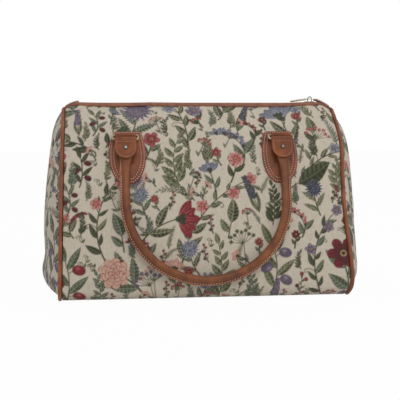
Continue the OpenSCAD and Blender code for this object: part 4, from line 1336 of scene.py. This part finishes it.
def ringPiece(name, x0, turn, body):  # round wire bent to a rectangle with rounded corners
    r, c, h = mount["wireR"], mount["ringCorner"], mount["ringH"]
    half = max(mount["keeperW"], mount["tabW"]) / 2 + 2 * mount["play"] + r
    q = np.linspace(0, np.pi / 2, 7)
    corners = [(half - c, -c, 0), (-half + c, -c, 1), (-half + c, -h + c, 2), (half - c, -h + c, 3)]
    rounds = [stacked(x + c * np.cos(q + k * np.pi / 2), z + c * np.sin(q + k * np.pi / 2))
              for x, z, k in corners]
    line = respacedLoop(np.concatenate(rounds), 120)
    run = lineRun(line, True)
    k = np.linspace(0, 2 * np.pi, 17)
    out = r * np.cos(k)
    tube = stacked(line[:, :1] + out * run[:, 1:], r * np.sin(k), line[:, 1:] - out * run[:, :1])
    part = solidPart(placed(x0, turn, upperBar, ringAngle)(closedLine(tube)))
    buildPiece(name, [part], ["ringMetal"], body)


tabLook = {"creaseZ": 3.6, "crease": 0.22, "puffZ": 14, "puff": 0.3, "rowInset": 1.9, "rowTop": 4.6,
           "pitch": 2.7}


def tabPuff(z):
    return tabLook["puff"] * np.exp(-((z + tabLook["puffZ"]) / 7) ** 2)


def tabPiece(name, x0, turn, body):
    t, l, tipR = mount["strapT"], mount["tabL"], mount["tabW"] / 2
    r = boreR + t / 2
    q = np.linspace(0, np.pi, 26)
    up = stacked(r, np.linspace(-mount["tabBackL"], -0.2, 16))
    loop = stacked(r * np.cos(q), r * np.sin(q))
    path = np.concatenate([up, loop, stacked(-r, -0.2 - (l - 0.2) * smoothSteps(0, 1, 60))])
    z = path[:, 1]
    front = np.arange(len(path)) >= len(up) + len(loop) / 2
    low = np.clip((-z - (l - tipR)) / tipR, 0, 1)
    half = np.where(front, tipR * np.sqrt(np.maximum(1 - low ** 2, 0.0004)), tipR)
    crease = tabLook["crease"] * np.exp(-((z + tabLook["creaseZ"]) / 0.7) ** 2)
    path = path + stacked(np.where(front, crease, 0) - np.where(front, tabPuff(z), 0), 0)
    place = placed(x0, turn, lowerBar, handleTop)
    a, arcR, top = np.linspace(0, np.pi, 15), tipR - tabLook["rowInset"], -tabLook["rowTop"]
    arc = stacked(arcR * np.cos(a), -(l - tipR) - arcR * np.sin(a))
    line = np.concatenate([[[arcR, top]], arc, [[-arcR, top], [arcR, top]]])
    row = respaced(line, int(arcAlong(line)[-1] / tabLook["pitch"]) + 1)[:-1]
    sewn = sewnOn(place, stacked(row[:, 0], -r - t / 2 - tabPuff(row[:, 1]) + 0.02, row[:, 1]))
    parts = [strapPart(place, path, half, t * 0.97, 0.6, 10), sewn]
    buildPiece(name, parts, ["keeper", "tabThread"], body)


def rivetPiece(name, x0, turn, body):  # profile (radius, height) turned about the rivet's axis
    r, h, shaft = mount["rivetR"], mount["domeH"], 1.2
    top = loopR + 0.35
    collar = [(r, top - 0.1), (r, top + 0.15), (r * 0.9, top + 0.3), (r * 0.76, top + 0.2)]
    dome = [(r * 0.68 * np.cos(k), top + 0.1 + (h - 0.15) * np.sin(k)) for k in np.linspace(0, np.pi / 2, 9)]
    foot = [(0.0, -loopR - 0.8), (r * 0.8, -loopR - 0.8), (r * 0.95, -loopR - 0.5), (r, -loopR),
            (shaft, -loopR)]
    profile = np.array(foot + [(shaft, top - 0.1)] + collar + dome)
    q = np.linspace(0, 2 * np.pi, 33)
    radius, height = profile[:, :1], profile[:, 1:]
    local = stacked(radius * np.cos(q), -height, radius * np.sin(q) - mount["rivetDrop"])
    part = solidPart(placed(x0, turn, lowerBar, handleTop)(local))
    row = np.arange(len(part["quads"])) // (len(q) - 1)
    parts = splitSlot(part, (row >= len(foot) - 1) & (row <= len(foot) + len(collar)), 1)
    buildPiece(name, parts, ["rivetMetal", "rivetRim"], body, sharp=0.7)


# rolled handles: a roll with a sewn flange, on a sheet that leans less towards its lowest point

grip = {"rollR": 4.3, "flangeW": 3.0, "flangeT": 1.8, "legL": 75.0, "endStart": 12.5, "endHalfT": 1.4,
        "endHalfW": 8.2, "leanLow": 2.0, "rings": 330, "points": 40, "mouth": 21, "girth": 34,
        "rowEnd": 34, "rowA": 0.95, "pitch": 3.0}
bendRate = (handleTop - np.radians(grip["leanLow"])) / (grip["legL"] + mount["hangX"])
rollStart, rollFull = mount["tabBackL"] + 1, grip["legL"] * 0.55


def halfThick(s):
    return grip["endHalfT"] + (grip["rollR"] - grip["endHalfT"]) * ease(s, rollStart, rollFull)


def handleFrame(sigma):  # sigma runs along the centre line; gives drop s and turn phi at each place
    leg, arc = grip["legL"] - grip["endStart"], np.pi * mount["hangX"]
    phi = np.clip((sigma - leg) / mount["hangX"], 0, np.pi)
    past = np.maximum(sigma - leg - arc, 0)
    s = np.where(sigma < leg, grip["endStart"] + sigma, grip["legL"] + mount["hangX"] * np.sin(phi))
    return np.where(past > 0, grip["legL"] - past, s), phi


def handlePoint(s, phi, a, b):  # a is across, away from the arch; b is out from the wall
    lean = handleTop - bendRate * s
    oy = (np.cos(lean) - np.cos(handleTop)) / bendRate
    oz = (np.sin(handleTop) - np.sin(lean)) / bendRate
    b = b - np.minimum(halfThick(s), halfThick(mount["tabL"] + 1)) + grip["endHalfT"]
    side, down = -np.cos(phi), np.sin(phi)
    return stacked(-mount["hangX"] * np.cos(phi) + a * side,
                   lowerBar[1] - oy - a * down * np.sin(lean) - b * np.cos(lean),
                   lowerBar[2] - oz - a * down * np.cos(lean) + b * np.sin(lean))


def handlePiece(name, turn, body, seed):
    n, rollR, flangeT = grip["points"], grip["rollR"], grip["flangeT"]
    total = 2 * (grip["legL"] - grip["endStart"]) + np.pi * mount["hangX"]
    sigma = np.linspace(0, total, grip["rings"])[:, None]
    s, phi = handleFrame(sigma)
    mouth = np.radians(grip["mouth"])
    q = np.linspace(mouth, 2 * np.pi - mouth, n)[None, :]
    rollA = grip["endHalfW"] + (rollR - grip["endHalfW"]) * ease(s, grip["endStart"], rollFull)
    rollB = halfThick(s)
    crease = 0.10 * np.sin(sigma * 0.55 + seed) * np.maximum(-np.cos(q), 0) ** 2 * ease(s, 60, 120)
    crease = crease + 0.08 * np.sin(sigma * 0.13 + seed) * np.sin(2 * q)
    a, b = rollA * np.cos(q) * (1 + crease / rollR), rollB * np.sin(q) * (1 + crease / rollR)
    reach = rollA + 0.4 + (grip["flangeW"] - 0.4) * ease(s, mount["tabL"], rollFull)
    half = np.minimum(flangeT / 2, rollB * 0.4)
    k = np.linspace(-np.pi / 2, np.pi / 2, 7)[None, :]
    neck, waist, edge = rollA * 0.94, half * 0.86, reach - 0.5
    low = [(neck, -waist), (reach * 0.5 + neck * 0.5, -half), (edge, -half)]
    tip = (edge + 0.5 * np.cos(k), half * np.sin(k))
    flange = low + [tip] + [(x, -y) for x, y in low[::-1]]
    loopA, loopB = (np.concatenate([c] + [pair[j] for pair in flange] + [c[:, :1]], 1)
                    for j, c in enumerate((a, b)))
    columns = loopA.shape[1]
    uv = stacked(np.pad(sigma[:, 0], 1, mode="edge")[:, None], np.linspace(0, grip["girth"], columns)[None, :])
    part = solidPart(turn(capped(handlePoint(s, phi, loopA, loopB))), uv=uv)
    column = np.arange(len(part["quads"])) % (columns - 1)
    first = n + len(low) - 1
    parts = splitSlot(part, (column >= first) & (column <= first + 7), 1)
    at = np.arange(grip["rowEnd"], total - grip["rowEnd"], grip["pitch"])
    for face in (1, -1):
        p, above = (turn(handlePoint(*handleFrame(at), rollR + grip["rowA"], face * h))
                    for h in (flangeT * 0.5, flangeT * 0.5 + 1))
        parts.append(stitchRow(p, unit(above - p), 2))
    buildPiece(name, parts, ["handle", "rawEdge", "thread"], body)


for face, turn, sign, phase in (("front", asIs, 1, frontPhase), ("back", toBack, -1, backPhase)):
    for side, where in (("left", -sign), ("right", sign)):
        start, hang = f"{face}_{side}_", where * mount["hangX"]
        patchPiece(start + "patch", where * patch["x"], turn, phase)
        keeperPiece(start + "keeper", hang, turn)
        ringPiece(start + "ring", hang, turn, face + "_rings")
        tabPiece(start + "tab", hang, turn, face + "_handle")
        rivetPiece(start + "rivet", hang, turn, face + "_handle")
    handlePiece(face + "_handle", turn, face + "_handle", 1.3 if face == "front" else 2.9)
print("handles and their mountings made")

# zip slider and its pull

runner = {"x": flatX - 8, "length": 12.0, "width": 9.0, "plateT": 1.2, "square": 0.6,
          "webL": 5.4, "webW": 0.5, "hoopR": 2.4, "hoopRise": 3.0, "wire": 0.7}
pull = {"length": 25.0, "width": 6.0, "t": 2.3, "dip": 8.0, "reach": 5.0, "wire": runner["wire"] * 0.85}
plateGap = zipLook["toothH"] / 2 + mount["play"]
sliderTop = tapeZ + plateGap + runner["plateT"]
eyeZ = sliderTop + runner["hoopRise"] + mount["play"]


def wireAlong(path, r):  # round wire on an open path
    run = lineRun(path)
    aside = unit(np.cross(run, np.array([0.31, 0.9, 0.2])))
    return solidPart(capped(tubeRound(path, aside, np.cross(run, aside), r, np.linspace(0, 2 * np.pi, 11))))


def platePart(z, crown):  # shield outline: square behind, half an ellipse in front, its edges rounded
    l, w, t = runner["length"], runner["width"] / 2, runner["plateT"]
    back, start = -l / 2, l * (runner["square"] - 0.5)
    q = np.linspace(-np.pi / 2, np.pi / 2, 40)
    nose = stacked(start + (l / 2 - start) * np.cos(q), w * np.sin(q))
    line = np.concatenate([[[back, 0.0], [back, -w]], nose, [[back, w], [back, 0.0]]])
    line = closedLine(smoothed(respaced(line, 81)[:-1], 2))
    rings = [(toMiddle, 0.0), (0.3, 0.0), (0.0, 0.3), (0.0, t - 0.4), (0.14, t - 0.12), (0.5, t),
             (toMiddle, t + crown)]
    flat, height = padRings(line, np.zeros((len(line), 2)), rings)
    return solidPart(np.concatenate([flat, height[..., None] + z], -1) + [runner["x"], 0, 0])


def sliderPiece():
    x, r = runner["x"], runner["hoopR"]
    q = np.linspace(0, np.pi, 24)
    leg = np.linspace(sliderTop - 0.2, eyeZ, 6)[:-1]
    arch = np.concatenate([stacked(x + r, 0, leg), stacked(x + r * np.cos(q), 0, eyeZ + r * np.sin(q)),
                           stacked(x - r, 0, leg[::-1])])
    across, through = roundBar(*(np.full(2, a) for a in (runner["webW"] / 2, plateGap + 0.1, 0.1)), 3)
    web = barPart(asIs, np.array([[x], [x + runner["webL"]]]), across, tapeZ + through)
    plates = [platePart(sliderTop - runner["plateT"], 0.12),
              platePart(tapeZ - plateGap - runner["plateT"], 0.0)]
    parts = plates + [web, wireAlong(arch, runner["wire"])]
    buildPiece("zip_slider", parts, ["sliderMetal"], "slider", sharp=0.9)


def roundedEnd(d, r):
    return np.sqrt(np.clip(1 - (1 - np.clip(d / r, 0, 1)) ** 2, 0.002, 1))


def pullPiece():  # a wire bow through the hoop carries a long rounded bar
    half, wire, reach = pull["width"] / 2, pull["wire"], pull["reach"]
    side = half - wire
    bow = np.array([[-reach - 1.2, side, 0], [-1.0, side, 0], [-0.3, side - 0.12, 0], [0, side - 0.7, 0]])
    bow = respaced(np.concatenate([bow, bow[::-1] * [1, -1, 1]]), 60)
    x = smoothSteps(-reach, -pull["length"], 46)
    fromBow = -reach - x
    taper = np.minimum(roundedEnd(x + pull["length"], half), roundedEnd(fromBow, 1.2))
    width = half * taper * (1 - 0.1 * np.sin(np.pi * np.clip(fromBow / 19, 0, 1)))
    across, through = roundBar(width, pull["t"] / 2 * (0.55 + 0.45 * taper), np.minimum(0.5, width * 0.6), 8)
    dish = 1 - 0.3 * np.exp(-(across / (half * 0.55)) ** 2) * (width[:, None] > half * 0.7)
    a = np.radians(pull["dip"])
    turnDown = np.array([[np.cos(a), 0, np.sin(a)], [0, 1, 0], [-np.sin(a), 0, np.cos(a)]])
    parts = [wireAlong(bow, wire), barPart(asIs, x[:, None], across, through * dish)]
    for part in parts:
        part["xyz"] = part["xyz"] @ turnDown + [runner["x"], 0, eyeZ]
    buildPiece("zip_pull", parts, ["pullMetal"], "pull")


sliderPiece()
pullPiece()

# the one carried-over solid gets its own finish
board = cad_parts["base_board"]
board.data.materials.clear()
board.data.materials.append(finishes["board"])

# floor, soft studio light and the photograph's camera

studio = {"floorWhite": 0.965, "floorZ": -0.4, "floorHalf": 3000.0, "world": 0.5,
          "air": (0.95, 0.97, 1.0, 1.0)}
lamps = {"keyLamp": ((0.05, -1.65, 1.45), (1.2, 1.2), 11.2), "fillLamp": ((1.5, -1.2, 0.9), (1.4, 1.4), 4.3),
         "topLamp": ((0.0, 0.3, 1.8), (1.6, 1.2), 4.0)}  # place in m, size in m and power in W


def intoScene(name, data):
    thing = bpy.data.objects.new(name, data)
    bpy.context.scene.collection.objects.link(thing)
    return thing


def stagePlane():  # pale floor that is nearly white to the camera and in reflections
    n = Finish("paleFloor", 0.6, Specular_IOR_Level=0.2)
    grain = n.noise(n.place(), 30.0, 3.0)
    n.give(Base_Color=n.ramp(grain, (0.3, (236, 235, 232)), (0.7, (242, 241, 239))))
    seen = n.add("LightPath")
    glow = n.add("Emission", Color=(1, 1, 1, 1), Strength=1.0)
    shown = n.math("MAXIMUM", seen.outputs["Is Camera Ray"], seen.outputs["Is Glossy Ray"])
    mixed = n.add("MixShader", n.times(shown, studio["floorWhite"]), n.surface.outputs[0], glow.outputs[0])
    n.feed(n.tree.nodes["Material Output"].inputs["Surface"], mixed.outputs[0])
    half, z = studio["floorHalf"], studio["floorZ"]
    corners = np.array([[x, y, z] for x in (-half, half) for y in (-half, half)]) * mm
    mesh = bpy.data.meshes.new("floor")
    mesh.from_pydata(corners.tolist(), [], [[0, 2, 3, 1]])
    mesh.materials.append(n.made)
    intoScene("floor", mesh)


def aimed(thing, place, aim):
    thing.location = place
    thing.rotation_mode = "QUATERNION"
    thing.rotation_quaternion = (Vector(aim) - Vector(place)).to_track_quat("-Z", "Y")


def softLamp(name, place, size, watts):
    light = bpy.data.lights.new(name, "AREA")
    light.shape, light.size, light.size_y, light.energy = "RECTANGLE", *size, watts
    aimed(intoScene(name, light), place, (0, 0, 0.1))


def skyLight():  # white where it is seen, softer where it lights
    world = bpy.data.worlds.new("studioAir")
    bpy.context.scene.world = world
    world.use_nodes = True
    n = Nodes(world.node_tree)
    plain = n.tree.nodes["Background"]
    n.feed(plain.inputs["Color"], studio["air"])
    n.feed(plain.inputs["Strength"], studio["world"])
    plainWhite = n.add("Background", Color=(1, 1, 1, 1), Strength=1.0)
    seen = n.add("LightPath")
    shown = n.plus(*(seen.outputs[f"Is {ray} Ray"] for ray in ("Camera", "Glossy", "Transmission")))
    mixed = n.add("MixShader", n.math("MINIMUM", shown, 1.0), plain.outputs[0], plainWhite.outputs[0])
    n.feed(n.tree.nodes["World Output"].inputs["Surface"], mixed.outputs[0])


stagePlane()
skyLight()
for name, settings in lamps.items():
    softLamp(name, *settings)

photoView = {"place": (-0.1044, -1.0388, 0.2268), "aim": (0.0011, 0.0, 0.1065), "lens": 74.9, "sensor": 36.0}
eye = bpy.data.cameras.new("photoCamera")
eye.lens, eye.sensor_width = photoView["lens"], photoView["sensor"]
eye.clip_start, eye.clip_end = 0.01, 20.0
camera = intoScene("photoCamera", eye)
aimed(camera, photoView["place"], photoView["aim"])
bpy.context.scene.camera = camera
bpy.context.scene.view_settings.view_transform = "Standard"

print("scene ready")
